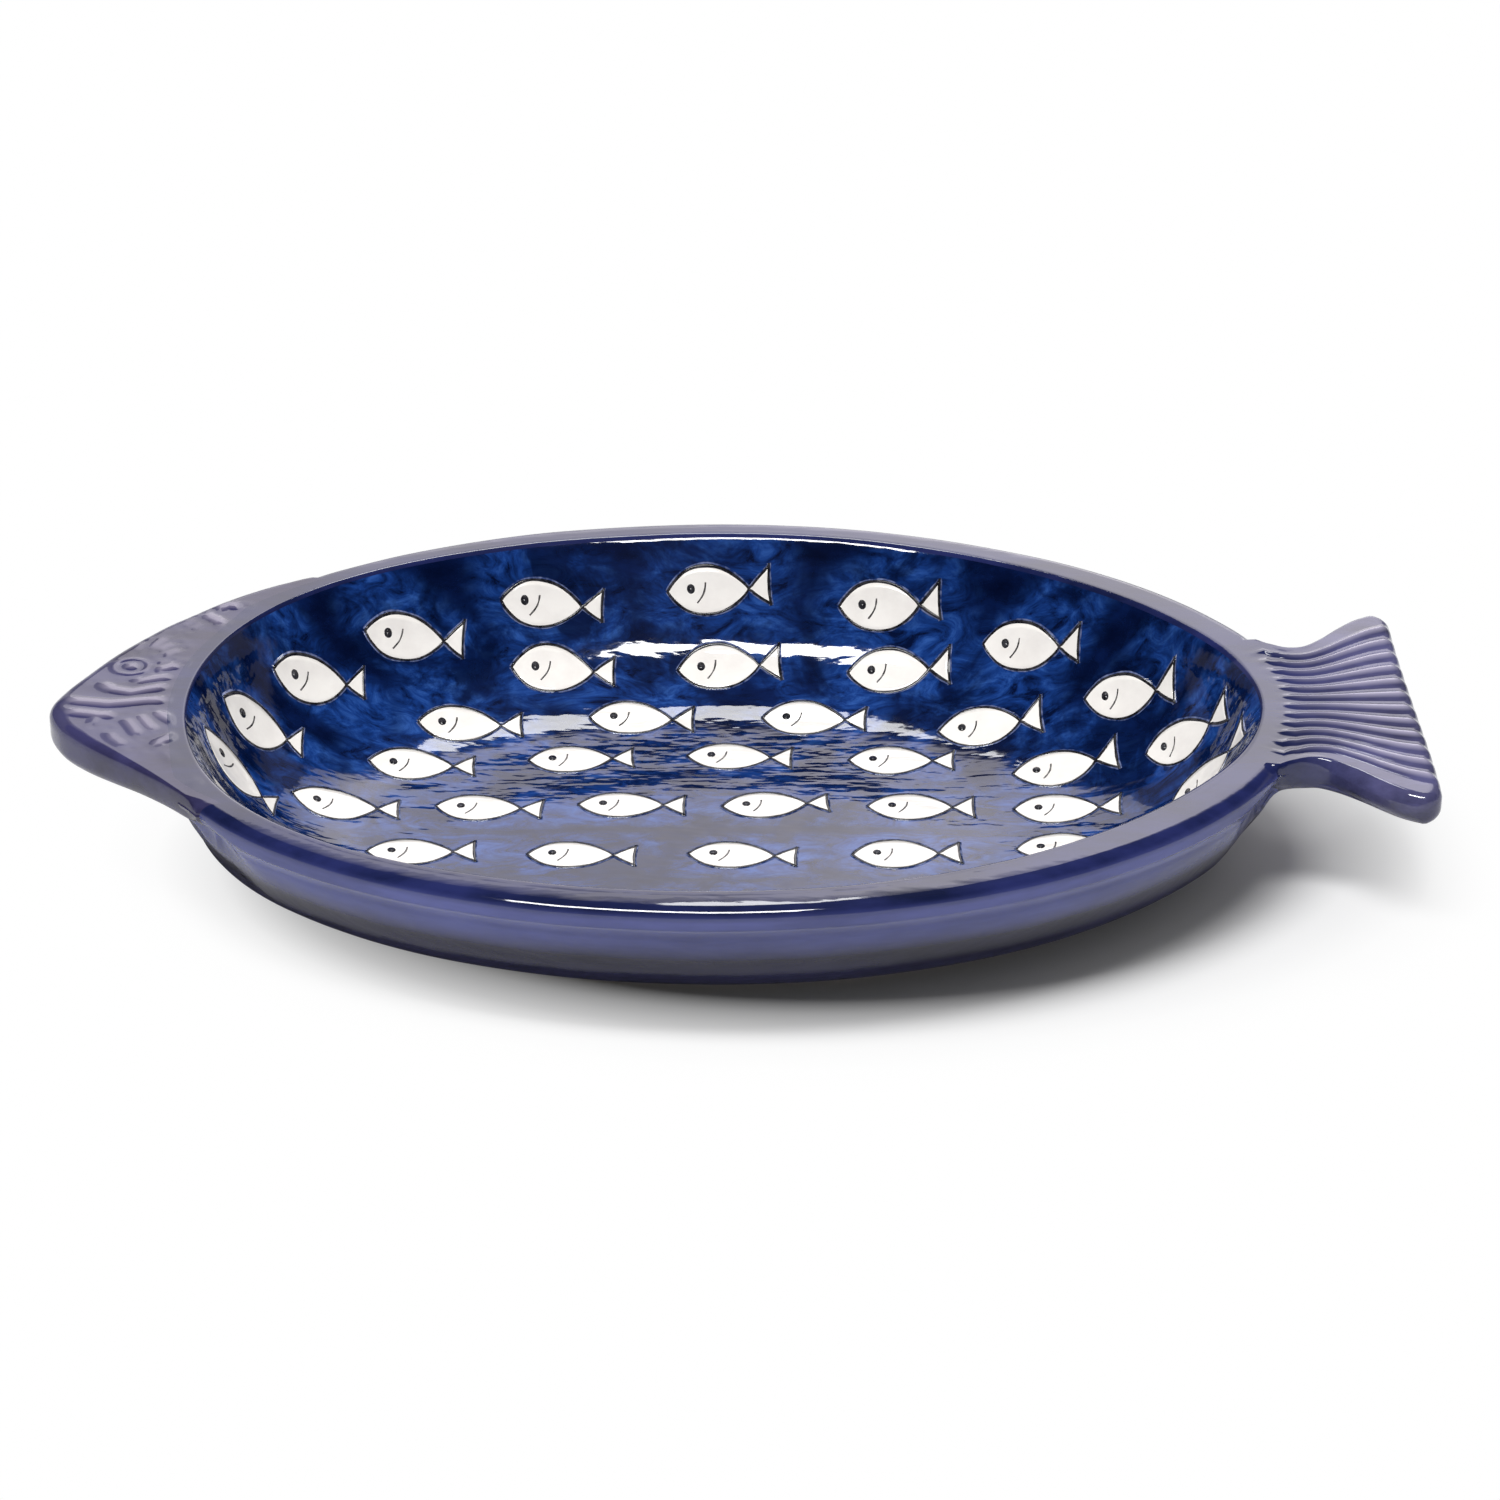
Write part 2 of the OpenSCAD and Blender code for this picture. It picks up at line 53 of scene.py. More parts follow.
# %% Sizes
mm = 0.001
bowl_head_l = 174.5 * mm
bowl_tail_l = 178.5 * mm
bowl_half_w = 118 * mm
rim_h = 58 * mm
floor_z = 8.5 * mm
wall_run = 70 * mm
lip_w = 12.5 * mm
lip_head_w = 15.5 * mm
lip_tail_w = 13.5 * mm
lip_t = 8.2 * mm
head_reach = 45.5 * mm
head_span = 79 * mm
head_half_w = 90 * mm
head_t = 14 * mm
line_h = 0.75 * mm
line_half_w = 2.7 * mm
tail_reach = 53.5 * mm
neck_half_w = 38 * mm
tail_half_w = 62 * mm
tail_t = 12 * mm
rib_count = 12
rib_h = 1.7 * mm
foot_inset = 48 * mm
foot_w = 8 * mm
foot_h = 3.5 * mm
fish_l = 36 * mm
fish_w = 16.5 * mm
wide_x = (bowl_head_l + head_reach - bowl_tail_l - tail_reach) / 2
nose_x = wide_x - bowl_head_l - head_reach
tail_x = wide_x + bowl_tail_l + tail_reach
print("nose and tail at", round(nose_x, 4), round(tail_x, 4))

# %% Small helpers
def mix(a, b, share):
    return a + (b - a) * share


def clamp(v):
    return max(0.0, min(1.0, v))


def ease(v):
    v = clamp(v)
    return v * v * (3 - 2 * v)


def at_height(xy, z):
    return Vector((xy[0], xy[1], z))


def smooth_run(points, counts):
    """A smooth run through control points, with a number of rows to each stretch between two."""
    gaps = [max((b - a).length, 1e-7) for a, b in zip(points, points[1:])]
    slopes = [(b - a) / d for a, b, d in zip(points, points[1:], gaps)]
    tangents = [slopes[0]]
    for i in range(1, len(slopes)):
        both = slopes[i - 1] * gaps[i] + slopes[i] * gaps[i - 1]
        tangents.append(both / (gaps[i - 1] + gaps[i]))
    tangents.append(slopes[-1])
    run = []
    for i, count in enumerate(counts):
        for k in range(count):
            u = k / count
            pull_out = (u ** 3 - 2 * u * u + u) * gaps[i]
            pull_in = (u ** 3 - u * u) * gaps[i]
            run.append(mix(points[i], points[i + 1], u * u * (3 - 2 * u))
                       + tangents[i] * pull_out + tangents[i + 1] * pull_in)
    return run


print("a quarter of the way from 0 to 1, eased:", ease(0.25))

# %% [markdown]
# ## The ovals
# A hand formed oval is never a true ellipse. This one draws in towards the tail, so its width is
# multiplied by a factor that follows the cube of the cosine.

# %% The bowl's edge and the lip's outer edge
bowl_egg = 0.15
rim_egg = 0.04


def egg(a, head_l, tail_l, half_w, egg_share, inset):
    c = math.cos(a)
    length = head_l if c < 0 else tail_l
    across = (half_w - inset) * math.sin(a)
    return Vector((wide_x + (length - inset) * c, across * (1 - egg_share * c ** 3)))


def bowl_edge(a, inset=0.0):
    return egg(a, bowl_head_l, bowl_tail_l, bowl_half_w, bowl_egg, inset)


def rim_edge(a, inset=0.0):
    head_l = bowl_head_l + lip_head_w
    tail_l = bowl_tail_l + lip_tail_w
    return egg(a, head_l, tail_l, bowl_half_w + lip_w, rim_egg, inset)


print("the rim is", round((rim_edge(0) - rim_edge(math.pi)).x, 4), "long")
print("and", round(2 * rim_edge(math.pi / 2).y, 4), "wide")

# %% Where the head and the tail take over from the lip
head_from = math.radians(138)
head_to = math.radians(210)
tail_half = math.radians(20)
blend = math.radians(9)
head_lip_loss = 0.6
tail_lip_loss = 0.5


def turned(a):
    return (a + math.pi) % (2 * math.pi) - math.pi


def taken(past):
    return ease(past / blend + 1)


def at_tail(a):
    return abs(turned(a)) < math.pi / 2


def slab_on(a):
    a = a % (2 * math.pi)
    return max(taken(a - head_from) * taken(head_to - a), taken(tail_half - abs(turned(a))))


def middle(a, start, end):
    """1 in the middle between two directions, and 0 at both."""
    return ease(1.6 * (1 - abs(2 * a - start - end) / (end - start)))


def rim_share(a):
    """Share of the lip's width that is left inside of the head and of the tail."""
    if at_tail(a):
        return 1 - tail_lip_loss * middle(turned(a), -tail_half, tail_half)
    return 1 - head_lip_loss * middle(a % (2 * math.pi), head_from, head_to)


print("the head takes", round(math.degrees(head_to - head_from)), "degrees of the rim")
print("and the tail", round(math.degrees(2 * tail_half)))

# %% [markdown]
# ## The head
# Seen from above the head is a blunt wedge. Its outline is a smooth curve through a few points, given in
# shares of its length and width. The pressed lines are soft ridges: the height at a place falls off with
# the distance to the nearest line, like the trace of a modelling tool. Each line has its strength and
# its points, and it fades towards both ends.

# %% The head's outline and pressed lines
head_outline_shares = [
    (1, 1), (0.87, 0.95), (0.745, 0.878), (0.63, 0.795), (0.525, 0.705), (0.415, 0.61),
    (0.31, 0.495), (0.21, 0.373), (0.12, 0.238), (0.04, 0.105), (0, -0.02), (0.053, -0.148),
    (0.16, -0.262), (0.28, -0.365), (0.41, -0.47), (0.55, -0.595), (0.7, -0.745)
]
head_line_shares = [
    (1.0, [(0.275, 0.295), (0.364, 0.244), (0.447, 0.18), (0.577, 0.137), (0.684, 0.179),
           (0.784, 0.215), (0.92, 0.22)]),
    (0.9, [(0.51, 0.308), (0.636, 0.305), (0.737, 0.339), (0.92, 0.393)]),
    (1.1, [(0.06, 0.075), (0.217, 0.008), (0.429, -0.032), (0.565, -0.011), (0.701, 0.016),
           (0.92, 0.023)]),
    (1.0, [(0.06, -0.12), (0.236, -0.158), (0.378, -0.193), (0.489, -0.2), (0.583, -0.18)]),
    (0.5, [(0.356, -0.367), (0.371, -0.256), (0.413, -0.2), (0.474, -0.186)]),
    (0.8, [(0.544, -0.2), (0.618, -0.312), (0.671, -0.423), (0.745, -0.547)]),
    (0.9, [(0.635, -0.152), (0.692, -0.229), (0.76, -0.354), (0.861, -0.479)]),
    (1.0, [(0.729, -0.124), (0.834, -0.204), (0.939, -0.299), (1.024, -0.396)]),
    (0.8, [(0.796, -0.711), (0.859, -0.595), (0.946, -0.506), (1.029, -0.513), (1.105, -0.603),
           (1.17, -0.78)]),
    (0.7, [(0.469, -0.395), (0.525, -0.533), (0.587, -0.601), (0.664, -0.683)]),
    (0.7, [(0.697, 0.727), (0.759, 0.814), (0.852, 0.876)]),
    (0.7, [(0.739, 0.661), (0.803, 0.723), (0.903, 0.787)]),
    (0.5, [(0.714, 0.559), (0.768, 0.584), (0.829, 0.61)]),
    (0.9, [(0.706, 0.437), (0.791, 0.491), (0.911, 0.559)]),
    (0.4, [(0.852, -0.657), (0.939, -0.779), (1.036, -0.942)]),
    (1.0, [(0.967, 1.352), (1.09, 1.242), (1.194, 1.125)]),
    (0.9, [(1.059, 1.372), (1.164, 1.462), (1.287, 1.45)]),
    (0.5, [(0.852, 1.098), (0.907, 1.203), (0.989, 1.227)]),
    (0.5, [(0.921, 1.059), (0.977, 1.149), (1.02, 1.195)]),
    (0.7, [(0.639, 0.733), (0.699, 0.867), (0.787, 1.001)]),
    (0.5, [(0.548, 0.714), (0.573, 0.829), (0.602, 0.905)]),
    (0.5, [(1.109, -1.271), (1.199, -1.114), (1.329, -0.992)])
]
eye_spot = Vector((nose_x + 0.54 * head_reach, 0.52 * head_reach))
head_outline_points = [
    Vector((nose_x + x * head_span, y * head_half_w)) for x, y in head_outline_shares
]
head_lines = [
    (share, [Vector((nose_x + x * head_reach, y * head_reach)) for x, y in line])
    for share, line in head_line_shares
]
print(len(head_lines), "pressed lines on the head, the eye at", [round(v, 4) for v in eye_spot])

# %% The curve of the outline, and the height of the pressed lines
eye_ring = 0.125 * head_reach
eye_ring_half_w = 1.3 * mm
eye_flat = 1.1
eye_share = 0.9
eye_ring_share = 0.55
line_far = 38 * mm
line_fade_l = 9 * mm
line_fade_share = 0.4
line_end_share = 0.1


def head_outline(share):
    """The place at a share of the outline, on a smooth curve through its points."""
    last = len(head_outline_points) - 1
    f = clamp(share) * last
    i = min(int(f), last - 1)
    u = f - i
    p = [head_outline_points[max(0, min(last, i + k))] for k in (-1, 0, 1, 2)]
    slope = p[2] - p[0]
    bend = 2 * p[0] - 5 * p[1] + 4 * p[2] - p[3]
    twist = 3 * p[1] - p[0] - 3 * p[2] + p[3]
    return p[1] + (slope * u + bend * u * u + twist * u ** 3) / 2


def run_gap(p, a, b):
    """Distance from a point to a run between two others."""
    ab = b - a
    return (p - a - ab * clamp((p - a).dot(ab) / ab.dot(ab))).length


def ridge(gap, half_w=line_half_w):
    """Height of a soft ridge at a distance from its line."""
    return math.exp(-(gap / half_w) ** 2)


def head_relief(p):
    """Height of the pressed lines at a place, from 0 to 1."""
    total = 0.0
    for share, line in head_lines:
        if (p - line[0]).length < line_far:
            gap = min(run_gap(p, a, b) for a, b in zip(line, line[1:]))
            end_gap = min((p - line[0]).length, (p - line[-1]).length)
            fade_l = min(line_fade_l, line_fade_share * (line[-1] - line[0]).length)
            total += (share * ridge(gap) * ease(end_gap / fade_l + line_end_share)) ** 3
    eye_gap = Vector((p.x - eye_spot.x, (p.y - eye_spot.y) * eye_flat)).length
    ring = eye_ring_share * ridge(eye_gap - eye_ring, eye_ring_half_w)
    total += (eye_share * ridge(eye_gap)) ** 3 + ring ** 3
    return total ** (1 / 3)


print("the relief is", round(head_relief(eye_spot), 2), "high at the eye")

# %% [markdown]
# ## The tail
# The tail narrows to a neck and flares out to its end. A place on it has a share along its length and a
# share across, so the ribs follow the flare without being drawn one by one.

# %% The tail's plan and its ribs
tail_width_shares = [
    (0, 0.26), (0.1, 0.08), (0.2, 0), (0.33, 0.04), (0.48, 0.26),
    (0.64, 0.56), (0.8, 0.82), (0.94, 0.96), (1, 1)
]
tail_width_points = [Vector(pair) for pair in tail_width_shares]
root_along = 0.1
neck_along = 0.2
rib_edge = 0.88
rib_soft_share = 0.7
rib_crest_w = 0.15
corner_from = 0.88
corner_cut = 0.13 * tail_half_w
end_slant = 0.07 * tail_half_w


def smooth_value(share, points):
    """A smooth value through (place, value) points."""
    for i in range(len(points) - 1):
        if share <= points[i + 1].x or i == len(points) - 2:
            before = points[max(i - 1, 0)]
            after = points[min(i + 2, len(points) - 1)]
            a, b = points[i], points[i + 1]
            u = clamp((share - a.x) / (b.x - a.x))
            slope_a = (b.y - before.y) / (b.x - before.x)
            slope_b = (after.y - a.y) / (after.x - a.x)
            wide = b.x - a.x
            level = mix(a.y, b.y, u * u * (3 - 2 * u))
            level += slope_a * wide * (u ** 3 - 2 * u * u + u)
            return level + slope_b * wide * (u ** 3 - u * u)


def tail_half_at(share):
    return mix(neck_half_w, tail_half_w, smooth_value(share, tail_width_points))


def tail_end_x(across):
    side = clamp((abs(across) - corner_from) / (1 - corner_from))
    slant = end_slant * ease((across + 1) / 2)
    return tail_x - slant - corner_cut * (1 - math.sqrt(1 - side * side))


def tail_place(root, along, across):
    """A place on the tail, from its root on the lip."""
    x = mix(root.x, tail_end_x(across), along)
    if along < root_along:
        return Vector((x, mix(root.y, across * tail_half_at(root_along), along / root_along)))
    return Vector((x, across * tail_half_at(along)))


def tail_relief(across):
    """Height of the fan of ribs at a share across the tail, from 0 to 1."""
    if abs(across) > rib_edge:
        return 0.0
    f = (across / rib_edge + 1) / 2 * rib_count
    gap = abs(f % 1 - 0.5)
    soft = 0.5 - 0.5 * math.cos(2 * math.pi * f)
    crest = math.exp(-(gap / rib_crest_w) ** 2)
    return mix(crest, soft, rib_soft_share)


print("the neck is", round(2 * tail_half_at(neck_along), 4), "wide")
print("and the tail's end", round(2 * tail_half_at(1), 4))

# %% [markdown]
# ## One section through the clay
# In any direction from the bowl's middle, a cut through the platter is one closed line: over the floor, up
# the wall, over the lip, out along the head or tail and back under, down the outer wall and back below the
# floor. Every direction gets the same number of rows, so the cuts join into one surface with no seam.

# %% The inner wall and the lip's inner half
centre = Vector((wide_x, 0))
floor_share = 0.55
wall_shares = [
    (1, 1), (0.57, 0.92), (0.4, 0.81), (0.28, 0.675),
    (0.195, 0.53), (0.13, 0.385), (0.08, 0.245), (0.035, 0.1)
]
lip_start = 0.3
lip_shares = [(0, 0.13), (0.1, 0.02), (lip_start, 0)]
floor_counts = [6, 4]
wall_counts = [5, 4, 4, 4, 4, 4, 4]
seat_counts = [4, 3, 3]
inner_counts = floor_counts + wall_counts + seat_counts
seat_row = sum(floor_counts + wall_counts + seat_counts[:1])


def inner_rows(a, share):
    """From the middle of the floor to the lip, of which a share is left in this direction."""
    flat = bowl_edge(a, wall_run)
    points = [at_height(centre, floor_z), at_height(mix(centre, flat, floor_share), floor_z)]
    for run, drop in wall_shares:
        points.append(at_height(bowl_edge(a, run * wall_run), rim_h - drop * (rim_h - floor_z)))
    edge = bowl_edge(a)
    out = (rim_edge(a) - edge) * share
    points += [at_height(edge + out * x, rim_h - drop * lip_t) for x, drop in lip_shares]
    return smooth_run(points, inner_counts)


print(len(inner_rows(0, 1)), "rows from the middle of the floor to the lip")

# %% The lip's outer half and the slabs
lip_rows = 5
top_rows = 44
round_rows = 7
side_rows = 4
under_round_rows = 6
root_row = len(inner_rows(0, 1)) + lip_rows
edge_row = root_row + top_rows + round_rows
under_row = edge_row + side_rows + under_round_rows


def top_and_side(place, start, root, length, depth, rounding, slope):
    """The rows over the top, round the edge and down the side, and how far out each lies. place(x) is
    the plan place at a distance x out from the bowl's edge, and length is that of the outermost place.
    The rounding is the width and depth of the upper round, and of the lower one."""
    round_w, round_d, under_w, round_b = rounding
    flat_end = length - round_w
    split = min(root, mix(start, flat_end, 0.5))
    rows = [(mix(start, split, k / lip_rows), 0.0) for k in range(lip_rows)]
    rows += [(mix(split, flat_end, k / top_rows), 0.0) for k in range(top_rows)]
    for k in range(round_rows):
        turn = math.pi / 2 * k / round_rows
        rows.append((flat_end + round_w * math.sin(turn), round_d * (1 - math.cos(turn))))
    rows += [(length, mix(round_d, depth - round_b, k / side_rows)) for k in range(side_rows)]
    for k in range(under_round_rows):
        turn = math.pi / 2 * k / under_round_rows
        rows.append((length - under_w * (1 - math.cos(turn)), depth - round_b + round_b * math.sin(turn)))
    points = []
    for x, drop in rows:
        fall = slope * (x / length) ** 2 * (1 - drop / depth)
        points.append(at_height(place(x), rim_h - drop - fall))
    return points, [x for x, _ in rows]


print("the lip's rows end with", root_row, "and the edge's with", edge_row)

# %% The outer wall, from the shares that the part's source has, and the lip above it
outer_shares = [(0.12, 0.7), (0.21, 0.53), (0.35, 0.38), (0.56, 0.22), (0.8, 0.08), (1, 0)]
outer_counts = [5, 5, 4, 4, 4, 5, 4]
groove_counts = [4, 8, 5]
slab_under_counts = [12, 5]
lip_groove = [(0.9 * mm, 9.0 * mm), (1.7 * mm, 10.8 * mm), (2.3 * mm, 13.5 * mm)]
lip_round_share = 0.3
lip_round_d = 3 * mm
lip_under_round = (0.45 * mm, 1.3 * mm)
lip_fall = 1.2 * mm


def wall_and_underside(a):
    under_lip = rim_h - lip_t
    points = []
    for run, rise in outer_shares:
        points.append(at_height(rim_edge(a, run * foot_inset), mix(foot_h, under_lip, rise)))
    inner = rim_edge(a, foot_inset + foot_w)
    return points + [at_height(inner, foot_h), at_height(centre, foot_h)]


def plain_outside(a):
    """The outside in a direction with neither head nor tail."""
    edge = bowl_edge(a)
    width = (rim_edge(a) - edge).length
    way = (rim_edge(a) - edge) / width
    rounding = (lip_round_share * width, lip_round_d, *lip_under_round)
    rows, _ = top_and_side(
        lambda x: edge + way * x, lip_start * width, width, width, lip_t, rounding, lip_fall
    )
    points = [at_height(rim_edge(a, inset), rim_h - drop) for inset, drop in lip_groove]
    return rows + smooth_run(points + wall_and_underside(a), groove_counts + outer_counts)


print(len(plain_outside(math.pi / 2)), "rows on the outside of the rim and the bowl")

# %% The slab's rows: a fan of paths from the root on the lip to the outline
root_end_share = 0.62
least_reach = 0.8 * mm
relief_from = 3 * mm
relief_fade_head = 2.5 * mm
relief_fade_tail = 12 * mm
whole_reach_head = 9 * mm
whole_reach_tail = 28 * mm
relief_edge_loss = 0.75
relief_sink = 0.8 * mm
rib_root_share = 0.42
slab_rounding = (5 * mm, 4.5 * mm, 4 * mm, 4 * mm)
slab_tuck = 0.6 * mm
gusset_shares = (0.4, 0.75)


def slab_path(a, root, root_x):
    """How far the path runs, its plan place at a share of its way, and its relief."""
    if at_tail(a):
        k = turned(a) / tail_half
        past = clamp((abs(k) - root_end_share) / (1 - root_end_share))
        to_along = 1 - past
        to_across = k / root_end_share if past == 0 else math.copysign(1.0, k)
        tip = tail_place(root, to_along, to_across)
        reach = (tip - root).length

        def place(t):
            return tail_place(root, to_along * t, mix(k, to_across, t))

        def relief(p, x):
            t = clamp((x - root_x) / max(reach, mm))
            height = tail_relief(mix(k, to_across, t))
            lift = rib_h * height * mix(rib_root_share, 1, clamp((x - root_x) / tail_reach))
            return lift, height
    else:
        tip = head_outline((a - head_from) / (head_to - head_from))
        way = (bowl_edge(a, -lip_w) - bowl_edge(a)).normalized()
        short = least_reach - (tip - root).dot(way)
        if short > 0:
            tip = tip + way * short
        reach = (tip - root).length

        def place(t):
            return mix(root, tip, t)

        def relief(p, x):
            height = head_relief(p)
            return line_h * height, height
    return reach, place, relief


straight_back = slab_path(0.0, rim_edge(0.0), 0.0)[0]
print("straight back the tail reaches", round(straight_back, 4), "out from the lip")


# %% The outside where the head or the tail is
def slab_outside(a):
    """The outside where the head or the tail is, with a mark from 0 to 1 for each row's crest."""
    edge = bowl_edge(a)
    lip = (rim_edge(a) - edge).length
    way = (rim_edge(a) - edge) / lip
    share = rim_share(a)
    root_x = share * lip
    root = edge + way * root_x
    if at_tail(a):
        inside = abs(turned(a)) < tail_half
        depth = mix(lip_t, tail_t, ease(8 * (1 - abs(turned(a)) / tail_half)))
    else:
        inside = head_from < a % (2 * math.pi) < head_to
        depth = mix(lip_t, head_t, middle(a % (2 * math.pi), head_from, head_to))
    reach, path, relief = 0.0, None, None
    if inside:
        reach, path, relief = slab_path(a % (2 * math.pi), root, root_x)

    def place(x):
        if x <= root_x or reach < 1e-5:
            return edge + way * min(x, root_x)
        return path((x - root_x) / reach)

    length = root_x + reach
    rows, row_x = top_and_side(
        place, lip_start * root_x, root_x, length, depth, slab_rounding, 0.0
    )
    crest = [0.0] * len(rows)
    round_w, _, under_w, _ = slab_rounding
    fade_l = relief_fade_tail if at_tail(a) else relief_fade_head
    whole_reach = whole_reach_tail if at_tail(a) else whole_reach_head
    sink = relief_sink if at_tail(a) else 0
    for i in range(lip_rows + top_rows + round_rows):
        across = row_x[i]
        if inside and across > relief_from:
            lift, crest[i] = relief(rows[i].xy, across)
            fade = ease((across - relief_from) / fade_l)
            fade *= 1 - relief_edge_loss * ease((across - (length - round_w)) / round_w)
            fade *= ease(reach / whole_reach)
            rows[i].z += (lift - sink) * fade
            crest[i] *= fade
    tuck_x = min(root_x, length - under_w) - slab_tuck
    points = [at_height(place(length - under_w), rim_h - depth)]
    points.append(at_height(place(tuck_x), rim_h - depth - slab_tuck))
    below = wall_and_underside(a)[2:]
    top = at_height(root, rim_h - depth)
    points += [mix(top, below[0], share) for share in gusset_shares] + below
    return rows + smooth_run(points, slab_under_counts + outer_counts), crest


print(len(slab_outside(0)[0]), "rows where the tail is, and", len(slab_outside(math.pi)[0]), "at the head")

# %% [markdown]
# ## Forming the clay
# A line of vertices is spun into a disc, as clay is spread on a wheel, and each vertex is then moved to its
# place on the section of its direction. The spin has a tenth of the steps, and each is then split in ten,
# which is quicker. More directions are spent on the head and the tail, because their relief is fine. A
# little noise keeps the form from looking machined.

# %% Directions round the platter
def spread(start, end, count):
    return [mix(start, end, k / count) for k in range(count)]


tail_steps = 240
back_steps = 98
head_steps = 260
front_steps = 102
directions = spread(-tail_half, tail_half, tail_steps)
directions += spread(tail_half, head_from, back_steps)
directions += spread(head_from, head_to, head_steps)
directions += spread(head_to, 2 * math.pi - tail_half, front_steps)
print(len(directions), "directions")


wobbles = [(22, 0.34 * mm), (60, 0.08 * mm)]
wobble_from_h = 20 * mm


def hand_wobble(p):
    """The small unevenness of a hand finished form, which the glaze then mirrors."""
    return sum(noise.noise(p * often) * high for often, high in wobbles)


def section(a):
    """All rows in one direction, and each row's crest."""
    on = slab_on(a)
    rows = inner_rows(a, mix(1.0, rim_share(a), on))
    crest = [0.0] * len(rows)
    if on > 0:
        outside, marks = slab_outside(a)
        crest += marks
    if on == 0:
        outside = plain_outside(a)
    elif on < 1:
        outside = [mix(p, q, on) for p, q in zip(plain_outside(a), outside)]
    rows = rows + outside + [at_height(centre, foot_h)]
    return rows, crest + [0.0] * (len(rows) - len(crest))


# %% Spin a line of vertices into a disc and move each to its section
sections = [section(a) for a in directions]
row_total = len(sections[0][0])
print("rows in a section", row_total, "the same in all:", all(len(s[0]) == row_total for s in sections))

clay = bmesh.new()
row_layer = clay.verts.layers.int.new("row")
station_layer = clay.verts.layers.int.new("station")
crest_layer = clay.verts.layers.float.new("crest")
line = [clay.verts.new((1 + row, 0, 0)) for row in range(row_total)]
for low, high in zip(line, line[1:]):
    clay.edges.new((low, high))
split_each = 10
bmesh.ops.spin(
    clay, geom=clay.verts[:] + clay.edges[:], cent=(0, 0, 0), axis=(0, 0, 1), angle=2 * math.pi,
    steps=len(directions) // split_each, use_merge=True
)
rings = [edge for edge in clay.edges if abs(edge.verts[0].co.length - edge.verts[1].co.length) < 0.1]
bmesh.ops.subdivide_edges(clay, edges=rings, cuts=split_each - 1)
for vert in clay.verts:
    row = round(vert.co.xy.length) - 1
    station = round(math.atan2(vert.co.y, vert.co.x) / (2 * math.pi) * len(directions)) % len(directions)
    vert[row_layer] = row
    vert[station_layer] = station
    vert[crest_layer] = sections[station][1][row]
    vert.co = sections[station][0][row]
    vert.co.z += hand_wobble(vert.co) * ease((vert.co.z - foot_h) / wobble_from_h)
print("clay:", len(clay.verts), "vertices and", len(clay.faces), "faces")

# %% [markdown]
# ## Cutting the clay into its members
# The members of the real platter are one piece, but somebody may want the head or the rim by itself. The
# surface is cut where one form turns into the next, and each member is closed by faces that lie inside of
# the clay. Every vertex keeps the normal of the whole surface, so the glaze runs over the cuts unbroken.

# %% Which member a face belongs to
BASIN, RIM, HEAD, TAIL = 0, 1, 2, 3
cut_row = under_row + slab_under_counts[0]
head_first = tail_steps + back_steps
head_last = head_first + head_steps
member_layer = clay.faces.layers.int.new("member")
for face in clay.faces:
    row = min(vert[row_layer] for vert in face.verts)
    around = [vert[station_layer] for vert in face.verts]
    station = max(around) if max(around) - min(around) > 1 else min(around)
    if row < seat_row or row >= cut_row:
        face[member_layer] = BASIN
    elif row >= root_row and station < tail_steps:
        face[member_layer] = TAIL
    elif row >= root_row and head_first <= station < head_last:
        face[member_layer] = HEAD
    else:
        face[member_layer] = RIM
for title, which in (("basin", BASIN), ("rim", RIM), ("head", HEAD), ("tail", TAIL)):
    print(title, sum(face[member_layer] == which for face in clay.faces), "faces")

# %% Merge the poles, point the faces out and keep the normals
hair = 0.002 * mm
bmesh.ops.remove_doubles(clay, verts=clay.verts, dist=hair)
bmesh.ops.recalc_face_normals(clay, faces=clay.faces)
clay.normal_update()
normal_layer = clay.verts.layers.float_vector.new("whole_normal")
for vert in clay.verts:
    vert[normal_layer] = vert.normal
open_edges = [edge for edge in clay.edges if len(edge.link_faces) != 2]
print("clay has", len(open_edges), "open edges and holds", round(clay.calc_volume() * 1e6), "ml")


# %% Make an object
def as_object(name, bm):
    """A smooth object from a bmesh."""
    mesh = bpy.data.meshes.new(name)
    bm.to_mesh(mesh)
    bm.free()
    mesh.polygons.foreach_set("use_smooth", [True] * len(mesh.polygons))
    piece = bpy.data.objects.new(name, mesh)
    bpy.context.collection.objects.link(piece)
    return piece


# %% Close a member inside of the clay
def open_loops(piece):
    """The open edges of a piece, one list for each hole."""
    left = {edge for edge in piece.edges if len(edge.link_faces) == 1}
    loops = []
    while left:
        loop = [left.pop()]
        for edge in loop:
            for vert in edge.verts:
                loop += [other for other in vert.link_edges if other in left]
                left.difference_update(vert.link_edges)
        loops.append(loop)
    return loops


def chain(piece, row):
    """The open edges along one row of the sections."""
    layer = piece.verts.layers.int["row"]
    return [
        edge for edge in piece.edges
        if len(edge.link_faces) == 1 and all(vert[layer] == row for vert in edge.verts)
    ]


